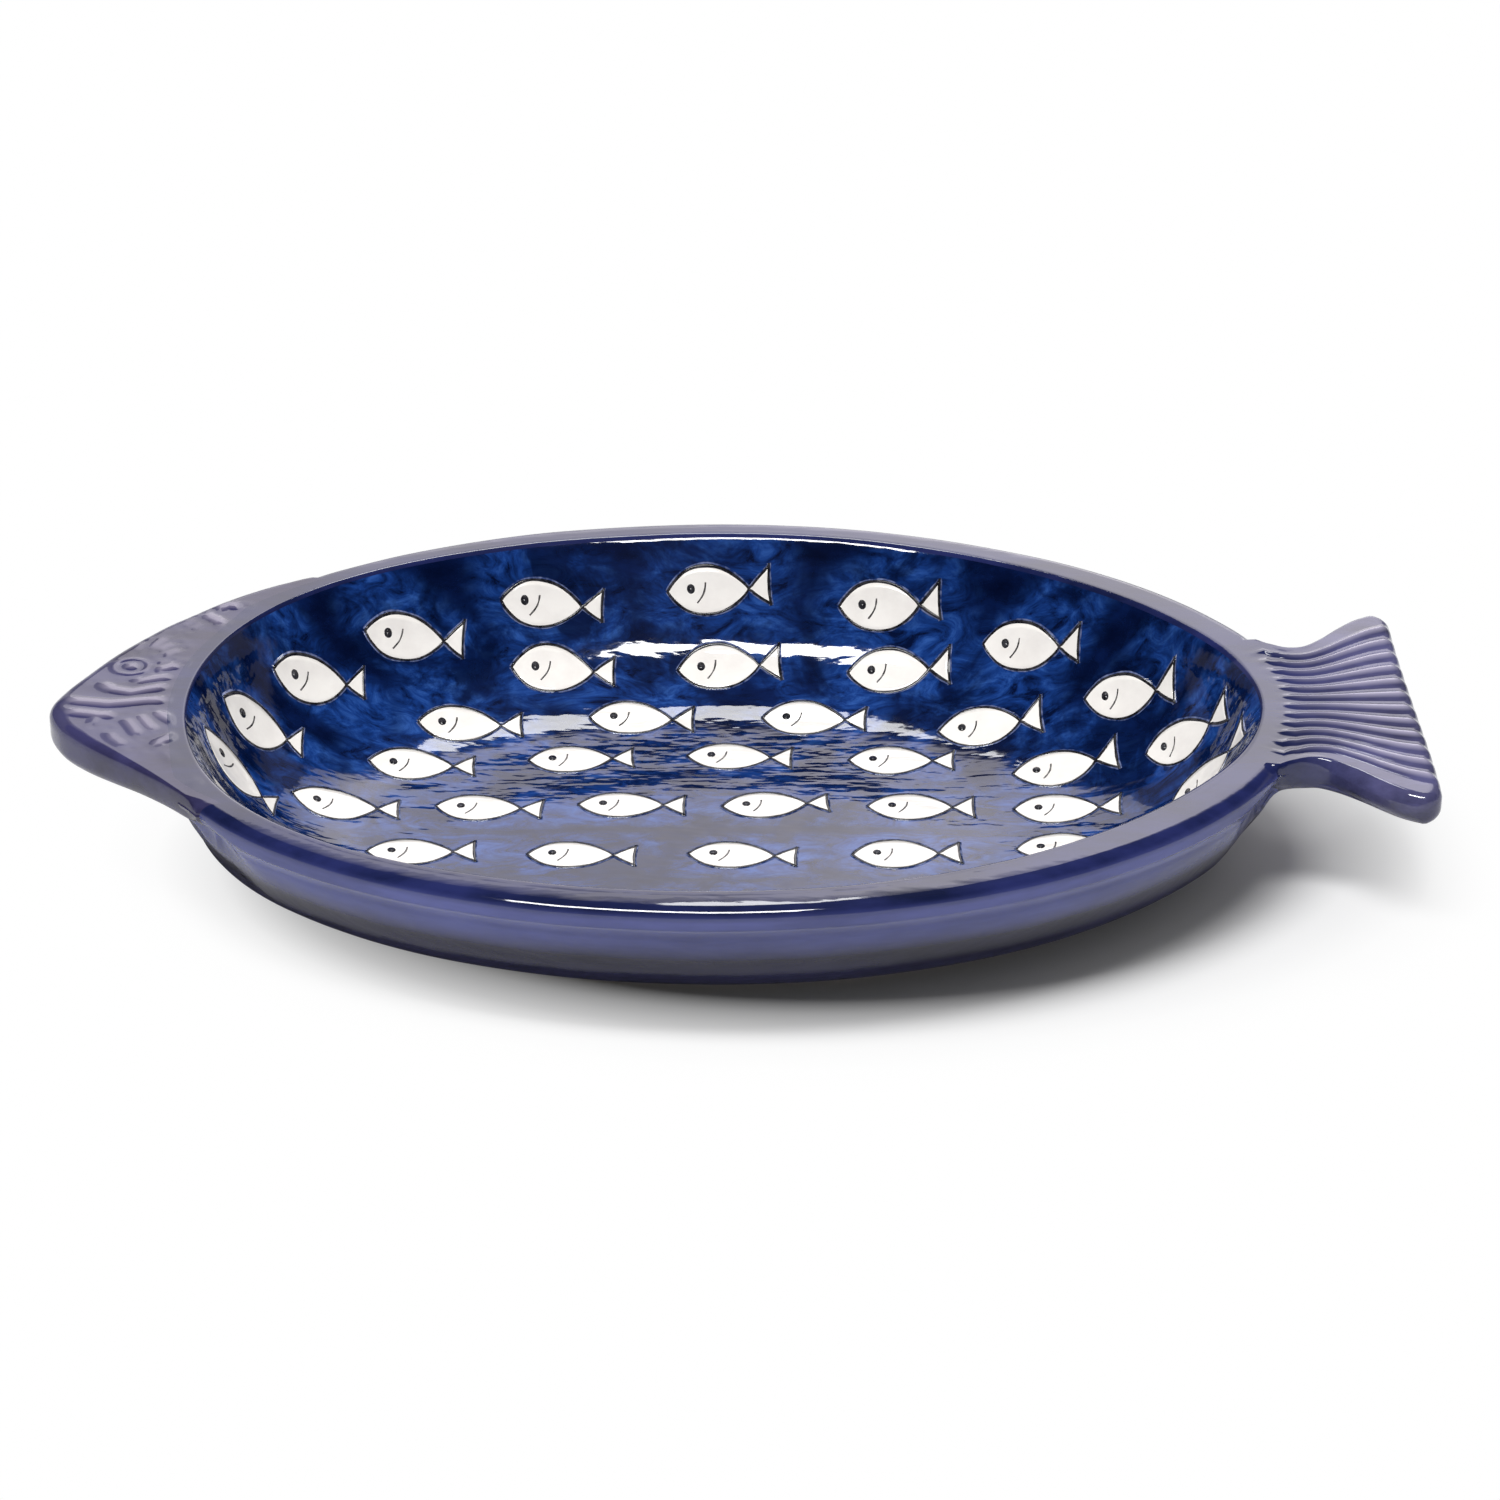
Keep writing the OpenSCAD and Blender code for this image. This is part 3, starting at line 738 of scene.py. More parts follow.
def cut_member(name, which):
    """The faces of one member, closed inside of the clay, with the normals of the whole surface."""
    piece = clay.copy()
    layer = piece.faces.layers.int["member"]
    bmesh.ops.delete(piece, geom=[face for face in piece.faces if face[layer] != which], context="FACES")
    seen = {face: face.normal.copy() for face in piece.faces}
    if which in (HEAD, TAIL):
        bmesh.ops.bridge_loops(piece, edges=chain(piece, root_row) + chain(piece, cut_row))
        for loop in open_loops(piece):
            bmesh.ops.triangle_fill(piece, edges=loop, use_beauty=True)
    else:
        loops = open_loops(piece)
        bmesh.ops.bridge_loops(piece, edges=loops[0] + loops[1])
    bmesh.ops.recalc_face_normals(piece, faces=piece.faces)
    turned_round = [face for face, normal in seen.items() if face.normal.dot(normal) < 0]
    if len(turned_round) > len(seen) / 2:
        bmesh.ops.reverse_faces(piece, faces=piece.faces)
    still_open = len(open_loops(piece))
    on_show = [face in seen for face in piece.faces]
    kept = piece.verts.layers.float_vector["whole_normal"]
    whole = [vert[kept].copy() for vert in piece.verts]
    member = as_object(name, piece)
    mesh = member.data
    normals = []
    for polygon in mesh.polygons:
        for loop in polygon.loop_indices:
            normal = whole[mesh.loops[loop].vertex_index] if on_show[polygon.index] else polygon.normal
            normals.append(tuple(normal))
    mesh.normals_split_custom_set(normals)
    print(name, sum(on_show), "faces on show,", on_show.count(False), "inside,", still_open, "loops open")
    return member


# %% Cut the four members
basin = cut_member("basin_clay", BASIN)
rim = cut_member("rim_clay", RIM)
head = cut_member("head_clay", HEAD)
tail = cut_member("tail_clay", TAIL)

# %% [markdown]
# ## The foot ring
# A platter of this size stands on a low ring, which is wiped free of glaze so that it doesn't stick to the
# kiln shelf. Its section is a small rounded bar, spun and then moved onto the oval.

# %% Foot ring
def finish_piece(name, bm):
    bmesh.ops.recalc_face_normals(bm, faces=bm.faces)
    piece = as_object(name, bm)
    print(name, len(piece.data.polygons), "faces")
    return piece


foot_steps = 160
foot_round = 1 * mm
foot_soft = 0.4 * mm
foot = bmesh.new()
corners = [
    (0, foot_h), (0, foot_round), (foot_round, 0),
    (foot_w - foot_round, 0), (foot_w, foot_round), (foot_w, foot_h)
]
bar = [foot.verts.new((1 + inset, 0, z)) for inset, z in corners]
for low, high in zip(bar, bar[1:] + bar[:1]):
    foot.edges.new((low, high))
bmesh.ops.bevel(
    foot, geom=bar[1:5], offset=foot_soft, segments=3, profile=0.5, affect="VERTICES", material=-1
)
bmesh.ops.spin(
    foot, geom=foot.verts[:] + foot.edges[:], cent=(0, 0, 0), axis=(0, 0, 1), angle=2 * math.pi,
    steps=foot_steps, use_merge=True
)
for vert in foot.verts:
    inset = vert.co.xy.length - 1
    place = rim_edge(math.atan2(vert.co.y, vert.co.x), foot_inset + inset)
    vert.co = (place.x, place.y, vert.co.z)
foot_ring = finish_piece("foot_ring_clay", foot)

# %% [markdown]
# ## The small fish
# Each fish is a lens of two arcs that cross in a narrow waist and open into a tail. It is drawn from one
# table of half heights. The drawing is then laid on the bowl: a ray from above finds the clay under each
# point, so the fish bends with the wall. The rows are a rule, and small differences come from a seed.

# %% Lay a point on the bowl
ground = BVHTree.FromBMesh(clay)
sky = 0.2


def on_bowl(place, lift):
    spot, normal, _, _ = ground.ray_cast(Vector((place[0], place[1], sky)), Vector((0, 0, -1)))
    return spot + normal * lift


def bowl_normal(p, reach=1.5 * mm):
    """The way the bowl faces at a place, evened out over a short reach."""
    east = on_bowl((p.x + reach, p.y), 0)
    west = on_bowl((p.x - reach, p.y), 0)
    north = on_bowl((p.x, p.y + reach), 0)
    south = on_bowl((p.x, p.y - reach), 0)
    return (east - west).cross(north - south).normalized()


beside_middle = (10 * mm, 4 * mm)
print("the floor by its middle is at", round(on_bowl(beside_middle, 0).z, 4))

# %% One fish: its table of half heights, and how the drawing lies on the bowl
fish_shares = [
    (-0.5, 0.0), (-0.475, 0.085), (-0.43, 0.205), (-0.34, 0.375), (-0.24, 0.47),
    (-0.13, 0.5), (-0.02, 0.475), (0.08, 0.395), (0.17, 0.27), (0.24, 0.14),
    (0.3, 0.02), (0.35, 0.11), (0.42, 0.24), (0.5, 0.37)
]
fish_points = [Vector(p) for p in fish_shares]
waist = 0.3
tail_bow = 0.012
plump_spread = 0.05
fan_spread = 0.08
brush_waver = 0.012
print("a fish is about", fish_l, "by", fish_w)


class Fish:
    def __init__(self, place, tilt, seed):
        self.place = Vector(place)
        self.up = bowl_normal(self.place)
        flat_tail = (Vector((1, 0, 0)) - self.up * self.up.x).normalized()
        flat_back = self.up.cross(flat_tail)
        self.tail_way = flat_tail * math.cos(tilt) + flat_back * math.sin(tilt)
        self.back_way = flat_back * math.cos(tilt) - flat_tail * math.sin(tilt)
        self.seed = seed
        self.plump = 1 + plump_spread * math.sin(5.1 * seed)
        self.fan = 1 + fan_spread * math.sin(3.7 * seed + 1)

    def wobble(self, along, side):
        """A brush line is never quite true."""
        p = Vector((along * 4, side * 3, self.seed * 7.3))
        return noise.noise(p) * brush_waver * fish_w

    def half(self, along, side=0):
        """Half height of the drawing at a share of its length."""
        grown = self.plump if along < waist else self.fan
        steady = smooth_value(along, fish_points) * fish_w * grown
        return steady + self.wobble(along, side) * ease(8 * (0.5 - abs(along)))

    def spot(self, along, across, lift):
        """The place on the bowl of a point of the drawing."""
        plan = self.place + self.tail_way.xy * along * fish_l + self.back_way.xy * across
        return on_bowl(plan, lift)


# %% Where the fish lie
fish_tilt = math.radians(4)
tilt_step = math.radians(97)
ring_fish_count = 20
ring_side_inset = 8.5 * mm
ring_end_inset = 16 * mm
ring_bunch = math.radians(4.5)
# each row: its place across, how many, how far it is shifted, and the step from fish to fish
fish_row_shares = [
    (0.78, 3, 0.02, 0.331), (0.605, 4, 0.016, 0.338), (0.41, 5, 0.04, 0.31), (0.14, 6, -0.03, 0.275),
    (-0.14, 5, 0.045, 0.305), (-0.41, 5, -0.01, 0.31), (-0.605, 4, 0, 0.338), (-0.78, 3, -0.02, 0.331)
]
ring_fish = []
for i in range(ring_fish_count):
    even = 2 * math.pi * i / ring_fish_count
    a = even - ring_bunch * math.sin(2 * even)
    inset = mix(ring_side_inset, ring_end_inset, math.cos(a) ** 2)
    ring_fish.append(Fish(bowl_edge(a, inset), fish_tilt * math.sin(tilt_step * i), i))
row_fish = []
for r, (y_share, count, shift, step) in enumerate(fish_row_shares):
    for i in range(count):
        u = shift + step * (i - (count - 1) / 2)
        half_w = bowl_half_w * math.sqrt(1 - u * u) * (1 - bowl_egg * u ** 3)
        place = (wide_x + u * (bowl_head_l if u < 0 else bowl_tail_l), y_share * half_w)
        row_fish.append(Fish(place, fish_tilt * math.sin(tilt_step * (i + r * r)), 30 + len(row_fish)))
print(len(ring_fish), "fish in the ring and", len(row_fish), "in the rows")

# %% [markdown]
# ## From a drawing to thin pieces
# A grid becomes the white body, and narrow grids become the strokes. Each gets a hair of thickness, with
# its lower side sunk into the glaze.

# %% Grids that follow the drawing
coat_t = 0.1 * mm
slip_lift = 0.12 * mm
body_columns = 34
body_rows = 8
stroke_columns = 40
short_columns = 12
stroke_step = 0.02


def add_grid(bm, columns, rows, spot):
    """A grid whose corners spot(u, v) places, u and v from -1 to 1, with a coat's thickness below it."""
    made = bmesh.ops.create_grid(bm, x_segments=columns, y_segments=rows, size=1)["verts"]
    for vert in made:
        vert.co = spot(vert.co.x, vert.co.y)
    faces = list({face for vert in made for face in vert.link_faces})
    bmesh.ops.solidify(bm, geom=faces, thickness=coat_t)


def white_body(bm, fish):
    def spot(u, v):
        along = u / 2
        along -= tail_bow * (1 - v * v) * clamp((along - waist) / (0.5 - waist))
        return fish.spot(along, v * fish.half(along, v), slip_lift)
    add_grid(bm, body_columns, body_rows, spot)


def stroke(bm, fish, path, width, lift, columns=stroke_columns):
    """A brush stroke along path(t), t from 0 to 1, which gives (share along, distance across)."""
    def spot(u, v):
        t = (u + 1) / 2
        here = path(t)
        ahead = path(min(t + stroke_step, 1))
        behind = path(max(t - stroke_step, 0))
        way = Vector(((ahead[0] - behind[0]) * fish_l, ahead[1] - behind[1])).normalized()
        unsteady = noise.noise(Vector((t * 6, fish.seed * 3.1, lift * 9000)))
        thin = width * (0.75 + 0.25 * unsteady) / 2
        along = here[0] - way.y * v * thin / fish_l
        return fish.spot(along, here[1] + way.x * v * thin, lift)
    add_grid(bm, columns, 2, spot)


# %% The white bodies
def draw_bodies(name, shoal):
    bodies = bmesh.new()
    for fish in shoal:
        white_body(bodies, fish)
    return finish_piece(name, bodies)


wall_fish = draw_bodies("wall_fish_slip", ring_fish)
floor_fish = draw_bodies("floor_fish_slip", row_fish)

# %% The cut outlines
outline_w = 1.15 * mm
burr_w = 2.3 * mm
outline_lift = 0.16 * mm
burr_lift = 0.09 * mm
tail_over = 1.1


def back_line(fish, side):
    """From the nose over the back to the waist, and across to the tail's other tip."""
    def path(t):
        along = -0.5 + t
        sign = side if along < waist else -side
        return along, sign * fish.half(along, sign)
    return path


def tail_line(fish):
    """Across the end of the tail, and a little past its tips."""
    def path(t):
        side = 2 * t - 1
        return 0.5 - tail_bow * (1 - side ** 2), tail_over * side * fish.half(0.5)
    return path


def draw_outlines(name, width, lift):
    """The two long lines and the tail's end of every fish."""
    lines = bmesh.new()
    for fish in ring_fish + row_fish:
        for side in (-1, 1):
            stroke(lines, fish, back_line(fish, side), width, lift)
        stroke(lines, fish, tail_line(fish), width, lift, short_columns)
    return finish_piece(name, lines)


fish_outlines = draw_outlines("fish_outlines_cut", outline_w, outline_lift)
fish_burrs = draw_outlines("fish_outline_burrs", burr_w, burr_lift)

# %% The gill lines
gill_w = 0.75 * mm
gill_top = (-0.125, 0.2)
gill_foot = (-0.215, -0.24)
gill_bow = 0.022


def gill_path(t):
    """A shallow bow from the back to the belly, behind the eye."""
    along = mix(gill_top[0], gill_foot[0], t) + gill_bow * math.sin(math.pi * t)
    return along, mix(gill_top[1], gill_foot[1], t) * fish_w


gills = bmesh.new()
for fish in ring_fish + row_fish:
    stroke(gills, fish, gill_path, gill_w, outline_lift, short_columns)
fish_gills = finish_piece("fish_gill_lines_cut", gills)

# %% The eyes, a dot in a ring
eye_place = (-0.27, 0.07)
eye_r = 1.4 * mm
eye_high = 1.65 * mm
ring_in = 1.2
ring_out = 1.42


def eye_disc(bm, fish, inner, outer, lift):
    """A disc, or a ring when inner is more than nothing, round the place of the eye."""
    made = bmesh.ops.create_circle(bm, cap_ends=True, segments=24, radius=1)["verts"]
    faces = list({face for vert in made for face in vert.link_faces})
    if inner > 0:
        bmesh.ops.inset_region(bm, faces=faces, thickness=1 - inner / outer)
        bmesh.ops.delete(bm, geom=faces, context="FACES_ONLY")
        made = list({vert for vert in bm.verts if abs(vert.co.z) < 1e-9 and vert.co.length < 1.01})
        faces = list({face for vert in made for face in vert.link_faces})
    for vert in made:
        along = eye_place[0] + vert.co.x * outer * eye_r / fish_l
        across = eye_place[1] * fish_w + vert.co.y * outer * eye_high
        vert.co = fish.spot(along, across, lift)
    bmesh.ops.solidify(bm, geom=faces, thickness=coat_t)


eyes = bmesh.new()
for fish in ring_fish + row_fish:
    eye_disc(eyes, fish, 0, 1, outline_lift)
    eye_disc(eyes, fish, ring_in, ring_out, outline_lift)
fish_eyes = finish_piece("fish_eyes_cut", eyes)

# %% [markdown]
# ## Where the glaze is lighter
# Around each fish the brush left a patch of clear cobalt, and between the fish the blue is almost black.
# The basin carries that as the attribute halo, from 0 far from a fish to 1 beside it. The attribute
# outside is 1 on the outer wall, which wears another blue. Towards the foot its clear coat is weaker, so it
# mirrors less of the room, and its blue turns darker there, which is painted shade. One more attribute
# holds both, from 1 high on the wall down to 0.3 at the foot.

# %% Paint the patches round the fish
halo_near = (34 * mm, 24 * mm)
halo_margin = (9 * mm, 6 * mm)
halo_least_tilt = 0.45
halo_from = 0.7
halo_fade = 0.5


def paint(name, values):
    """Give the basin's vertices a value each, for its glaze to read."""
    layer = basin.data.attributes.new(name, "FLOAT", "POINT")
    layer.data.foreach_set("value", values)
    print(name, "from", round(min(values), 3), "to", round(max(values), 3))


def near_a_fish(spot):
    best = 9.0
    for fish in ring_fish + row_fish:
        away = spot - fish.place.to_3d()
        if abs(away.x) > halo_near[0] or abs(away.y) > halo_near[1]:
            continue
        along = away.x / (fish_l / 2 + halo_margin[0])
        across = away.y / (fish_w / 2 * max(fish.up.z, halo_least_tilt) + halo_margin[1])
        best = min(best, math.sqrt(along ** 4 + across ** 4) ** 0.5)
    return 1 - ease((best - halo_from) / halo_fade)


paint("halo", [near_a_fish(vertex.co) for vertex in basin.data.vertices])

# %% Mark the outer wall, and how much coat and painted shade it carries
least_coat_and_shade = 0.3
shade_from_h = 24 * mm
shade_rise = 22 * mm
on_outside = [mark.value >= cut_row for mark in basin.data.attributes["row"].data]
left = []
for vertex, out in zip(basin.data.vertices, on_outside):
    # Lower down the coat weakens and the blue darkens: painted shade of the wall's lower side
    coat_and_shade = mix(least_coat_and_shade, 1, ease((vertex.co.z - shade_from_h) / shade_rise))
    left.append(coat_and_shade if out else 1.0)
paint("outside", [float(out) for out in on_outside])
paint("coat_and_painted_shade", left)
clay.free()

# %% [markdown]
# ## The glaze
# The glaze is a clear glass over brushed cobalt. Its colour lies below the gloss, so the base carries the
# brushed blues and a coat carries the gloss. The glass is never flat: it pooled in the kiln, and it draws
# the light into long ripples. A small bump does that. All numbers that are the same all over are set on
# the shader itself.

# %% Helpers for materials
def feed(tree, socket, value):
    """Link a socket to an output, or set it to a number or a colour."""
    if hasattr(value, "is_output"):
        tree.links.new(value, socket)
    elif isinstance(value, tuple):
        socket.default_value = (*value, 1)
    else:
        socket.default_value = value


def start_material(name):
    material = bpy.data.materials.new(name)
    material.use_nodes = True
    tree = material.node_tree
    tree.nodes.clear()
    output = tree.nodes.new("ShaderNodeOutputMaterial")
    shader = tree.nodes.new("ShaderNodeBsdfPrincipled")
    tree.links.new(shader.outputs["BSDF"], output.inputs["Surface"])
    return material, tree, shader


def noise_field(tree, scales, scale, detail=4.0, rough=0.55, twist=0.0):
    """A noise on object coordinates, stretched by scales."""
    place = tree.nodes.new("ShaderNodeTexCoord")
    mapping = tree.nodes.new("ShaderNodeMapping")
    mapping.inputs["Scale"].default_value = scales
    field = tree.nodes.new("ShaderNodeTexNoise")
    field.inputs["Scale"].default_value = scale
    field.inputs["Detail"].default_value = detail
    field.inputs["Roughness"].default_value = rough
    field.inputs["Distortion"].default_value = twist
    tree.links.new(place.outputs["Object"], mapping.inputs["Vector"])
    tree.links.new(mapping.outputs["Vector"], field.inputs["Vector"])
    return field.outputs["Fac"]


# %% Ramps, blends and sums
def ramp(tree, value, stops):
    """Colours at places between 0 and 1, with the value that says where to look."""
    node = tree.nodes.new("ShaderNodeValToRGB")
    while len(node.color_ramp.elements) < len(stops):
        node.color_ramp.elements.new(0.5)
    for element, (place, colour) in zip(node.color_ramp.elements, stops):
        element.position = place
        element.color = (*colour, 1)
    tree.links.new(value, node.inputs["Fac"])
    return node.outputs["Color"]


def share_ramp(tree, value, stops):
    """The same with numbers in place of colours."""
    return ramp(tree, value, [(at, (share,) * 3) for at, share in stops])


def blend_colours(tree, share, low, high, how="MIX"):
    node = tree.nodes.new("ShaderNodeMix")
    node.data_type = "RGBA"
    node.blend_type = how
    inputs = {socket.identifier: socket for socket in node.inputs}
    for key, value in (("Factor_Float", share), ("A_Color", low), ("B_Color", high)):
        feed(tree, inputs[key], value)
    outputs = {socket.identifier: socket for socket in node.outputs}
    return outputs["Result_Color"]


def combine(tree, how, *values):
    node = tree.nodes.new("ShaderNodeMath")
    node.operation = how
    for socket, value in zip(node.inputs, values):
        feed(tree, socket, value)
    return node.outputs[0]


# %% Bumps, attributes and coordinates
def bump(tree, shader, height, distance):
    """Unevenness of the surface and of the gloss on it, without changing the mesh."""
    node = tree.nodes.new("ShaderNodeBump")
    node.inputs["Strength"].default_value = 1.0
    node.inputs["Distance"].default_value = distance
    tree.links.new(height, node.inputs["Height"])
    tree.links.new(node.outputs["Normal"], shader.inputs["Normal"])
    tree.links.new(node.outputs["Normal"], shader.inputs["Coat Normal"])


def attribute(tree, name):
    """A value that the vertices carry."""
    node = tree.nodes.new("ShaderNodeAttribute")
    node.attribute_name = name
    return node.outputs["Fac"]


def coordinate(tree, kind, axis):
    place = tree.nodes.new("ShaderNodeTexCoord")
    split = tree.nodes.new("ShaderNodeSeparateXYZ")
    tree.links.new(place.outputs[kind], split.inputs["Vector"])
    return split.outputs[axis]


def ramp_along(tree, axis, start, end, reach):
    """0 up to a place along an axis of the object and 1 from another one. Both lie within the reach."""
    place = combine(tree, "MULTIPLY", coordinate(tree, "Object", axis), 1 / reach)
    return share_ramp(tree, place, [(start / reach, 0), (end / reach, 1)])


# %% The glaze's ripples and gloss, the same on every glazed piece
glass_rough = 0.05
glass_ior = 1.52
under_glass_rough = 0.4
bowl_ripples = 0.27 * mm
slip_ripples = 0.22 * mm
navy_ripples = 0.1 * mm


def glass_over(tree, shader, ripples, weight=1.0):
    """A clear coat that has all of the gloss, over a base that has none."""
    shader.inputs["Roughness"].default_value = under_glass_rough
    shader.inputs["Specular IOR Level"].default_value = 0.0
    feed(tree, shader.inputs["Coat Weight"], weight)
    shader.inputs["Coat Roughness"].default_value = glass_rough
    shader.inputs["Coat IOR"].default_value = glass_ior
    ripple = noise_field(tree, (1, 3.1, 2), 60, 2.5, 0.45)
    pool = noise_field(tree, (1, 1, 1), 26, 1, 0.4)
    bump(tree, shader, combine(tree, "ADD", ripple, pool), ripples)


# %% Cobalt in the bowl
night_blue = (0.0006, 0.0028, 0.018)
dusk_blue = (0.0013, 0.0050, 0.031)
worn_blue = (0.0028, 0.0115, 0.068)
cobalt = (0.0075, 0.038, 0.190)
clear_cobalt = (0.026, 0.090, 0.330)

bowl_glaze, tree, shader = start_material("cobalt_under_glaze")
brush = noise_field(tree, (1, 2.6, 2.6), 42, 5, 0.62)
ground_blue = ramp(tree, brush, [(0.32, night_blue), (0.5, dusk_blue), (0.72, worn_blue)])
dabs = noise_field(tree, (1, 2.2, 1.6), 58, 6, 0.68, 1.4)
fresh_blue = ramp(tree, dabs, [(0.36, dusk_blue), (0.52, cobalt), (0.68, clear_cobalt)])
patches = noise_field(tree, (1, 1, 1), 34, 5, 0.65, 0.6)
patch_share = share_ramp(tree, patches, [(0.4, 0.12), (0.54, 1)])
near_fish = combine(tree, "MULTIPLY", attribute(tree, "halo"), patch_share)
inner_blue = blend_colours(tree, near_fish, ground_blue, fresh_blue)
print("the inner blue takes", len(tree.nodes), "nodes")

# %% The thinner, streaky blue on the outer wall, and a darker one at its foot, which is painted shade
thin_blue = [(0.046, 0.055, 0.180), (0.082, 0.097, 0.300)]
painted_shade_foot_blue = [(0.007, 0.007, 0.022), (0.016, 0.016, 0.046)]


def streaked(tree, blue):
    """A blue that ran in streaks, between two tones."""
    streaks = noise_field(tree, (1, 1, 4), 14, 4, 0.6)
    return ramp(tree, streaks, [(0.35, blue[0]), (0.65, blue[1])])


# The darker blue towards the foot is painted shade
unshaded_share = share_ramp(tree, attribute(tree, "coat_and_painted_shade"), [(0.68, 0), (1, 1)])
outer_blue = blend_colours(tree, unshaded_share, streaked(tree, painted_shade_foot_blue), streaked(tree, thin_blue))
wall_blue = blend_colours(tree, attribute(tree, "outside"), inner_blue, outer_blue)
tree.links.new(wall_blue, shader.inputs["Base Color"])
glass_over(tree, shader, bowl_ripples, attribute(tree, "coat_and_painted_shade"))
print(bowl_glaze.name, len(tree.nodes), "nodes")

# %% [markdown]
# ## Navy outside of the bowl
# The rim, the head and the tail wear a nearly black navy, mottled where brush strokes overlap. The tail's
# navy is lighter, a painted reflection of the room's pale light on its flat top. Each vertex on the ridges
# carries its crest, from 0 to 1, and the colour pales with it, partly because the glaze ran thin there and
# partly as a painted highlight. The rim's outer face is as thin as the wall below it. At the tail's root
# the rim's darker navy runs on.

# %% Navy on the rim, the head and the tail
rim_blue = [(0.005, 0.008, 0.034), (0.016, 0.021, 0.092)]
head_blue = [(0.017, 0.015, 0.042), (0.042, 0.040, 0.114)]
# The pale crest colours are partly thin glaze and partly a painted highlight
head_crest_and_highlight = (0.20, 0.18, 0.26)
# The tail's navy is lighter than the rim's: a painted reflection of the room's pale light on its flat top
tail_blue_painted_veil = [(0.026, 0.026, 0.060), (0.086, 0.084, 0.190)]
tail_crest_and_highlight = (0.33, 0.31, 0.42)
face_h = (53 * mm, 56 * mm)
root_out = (177.5 * mm, 207.5 * mm)


def navy_glaze(name, blue, crest_and_highlight_colour=None, past_root=False, thin_face=False):
    material, tree, shader = start_material(name)
    brush = noise_field(tree, (1, 3, 3), 24, 5, 0.62)
    cloud = noise_field(tree, (1, 1, 1), 12, 3)
    mottled = combine(tree, "MULTIPLY", brush, combine(tree, "MULTIPLY", cloud, 2.0))
    colour = ramp(tree, mottled, [(0.32, blue[0]), (0.7, blue[1])])
    # The crests pale with thin glaze and with a painted highlight
    if crest_and_highlight_colour:
        crest = share_ramp(tree, attribute(tree, "crest"), [(0.35, 0), (1, 1)])
        colour = blend_colours(tree, crest, colour, crest_and_highlight_colour)
    if thin_face:
        upper = ramp_along(tree, "Z", *face_h, 100 * mm)
        colour = blend_colours(tree, upper, streaked(tree, thin_blue), colour)
    # At the root the rim's darker navy fades into the tail's painted reflection
    if past_root:
        root_blue = ramp(tree, mottled, [(0.32, rim_blue[0]), (0.7, rim_blue[1])])
        out = ramp_along(tree, "X", *root_out, 250 * mm)
        colour = blend_colours(tree, out, root_blue, colour)
    tree.links.new(colour, shader.inputs["Base Color"])
    glass_over(tree, shader, navy_ripples)
    print(name, len(tree.nodes), "nodes")
    return material


rim_glaze = navy_glaze("navy_rim_glaze", rim_blue, thin_face=True)
head_glaze = navy_glaze("navy_head_glaze", head_blue, head_crest_and_highlight)
tail_glaze = navy_glaze("navy_tail_glaze", tail_blue_painted_veil, tail_crest_and_highlight, past_root=True)

# %% White slip, dark cut lines and bare clay
slip, tree, shader = start_material("white_slip_under_glaze")
cloud = noise_field(tree, (1, 1, 1), 110, 4)
slip_colour = ramp(tree, cloud, [(0.3, (0.80, 0.765, 0.73)), (0.6, (0.87, 0.84, 0.80))])
tree.links.new(slip_colour, shader.inputs["Base Color"])
glass_over(tree, shader, slip_ripples)


def line_glaze(name, low, high):
    material, tree, shader = start_material(name)
    cloud = noise_field(tree, (1, 1, 1), 420, 3)
    tree.links.new(ramp(tree, cloud, [(0.38, low), (0.68, high)]), shader.inputs["Base Color"])
    glass_over(tree, shader, slip_ripples)
    return material


cut_line = line_glaze("dark_cut_line", (0.008, 0.008, 0.011), (0.045, 0.044, 0.052))
burr_line = line_glaze("pale_burr_line", (0.012, 0.03, 0.12), (0.20, 0.24, 0.42))
gill_stain = line_glaze("gill_line_stain", (0.03, 0.028, 0.028), (0.14, 0.13, 0.13))

bare_clay, tree, shader = start_material("bare_fired_clay")
grain = noise_field(tree, (1, 1, 1), 900, 5, 0.7)
cloud = noise_field(tree, (1, 1, 1), 40, 3)
tint = ramp(tree, cloud, [(0.3, (0.36, 0.25, 0.17)), (0.7, (0.47, 0.35, 0.25))])
speck = share_ramp(tree, grain, [(0.3, 0.2), (0.7, 0.6)])
tree.links.new(blend_colours(tree, 0.25, tint, speck), shader.inputs["Base Color"])
shader.inputs["Roughness"].default_value = 0.85
bump(tree, shader, grain, 0.1 * mm)
print(len(bpy.data.materials), "materials so far")

# %% [markdown]
# ## Putting the pieces together
# Every piece rides on the one body, wears its material and hides the node of the imported model that it
# stands for. The name of its finish in the table is not used.

# %% Dress the pieces
wardrobe = [
    (basin, bowl_glaze, "cobalt_glaze", "basin"),
    (rim, rim_glaze, "navy_glaze", "rim"),
    (head, head_glaze, "navy_glaze", "head"),
    (tail, tail_glaze, "navy_glaze", "tail_fin"),
    (foot_ring, bare_clay, "bare_clay", "foot_ring"),
    (wall_fish, slip, "white_slip", "wall_fish"),
    (floor_fish, slip, "white_slip", "floor_fish"),
    (fish_outlines, cut_line, "dark_line", "fish_outlines"),
    (fish_burrs, burr_line, "dark_line", "fish_outlines"),
    (fish_eyes, cut_line, "dark_line", "fish_eyes"),
    (fish_gills, gill_stain, "dark_line", "fish_gill_lines")
]
for piece, material, slot, node_name in wardrobe:
    piece.data.materials.append(material)
    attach(piece, "root")
    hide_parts(node_name)
print(len(wardrobe), "pieces dressed")

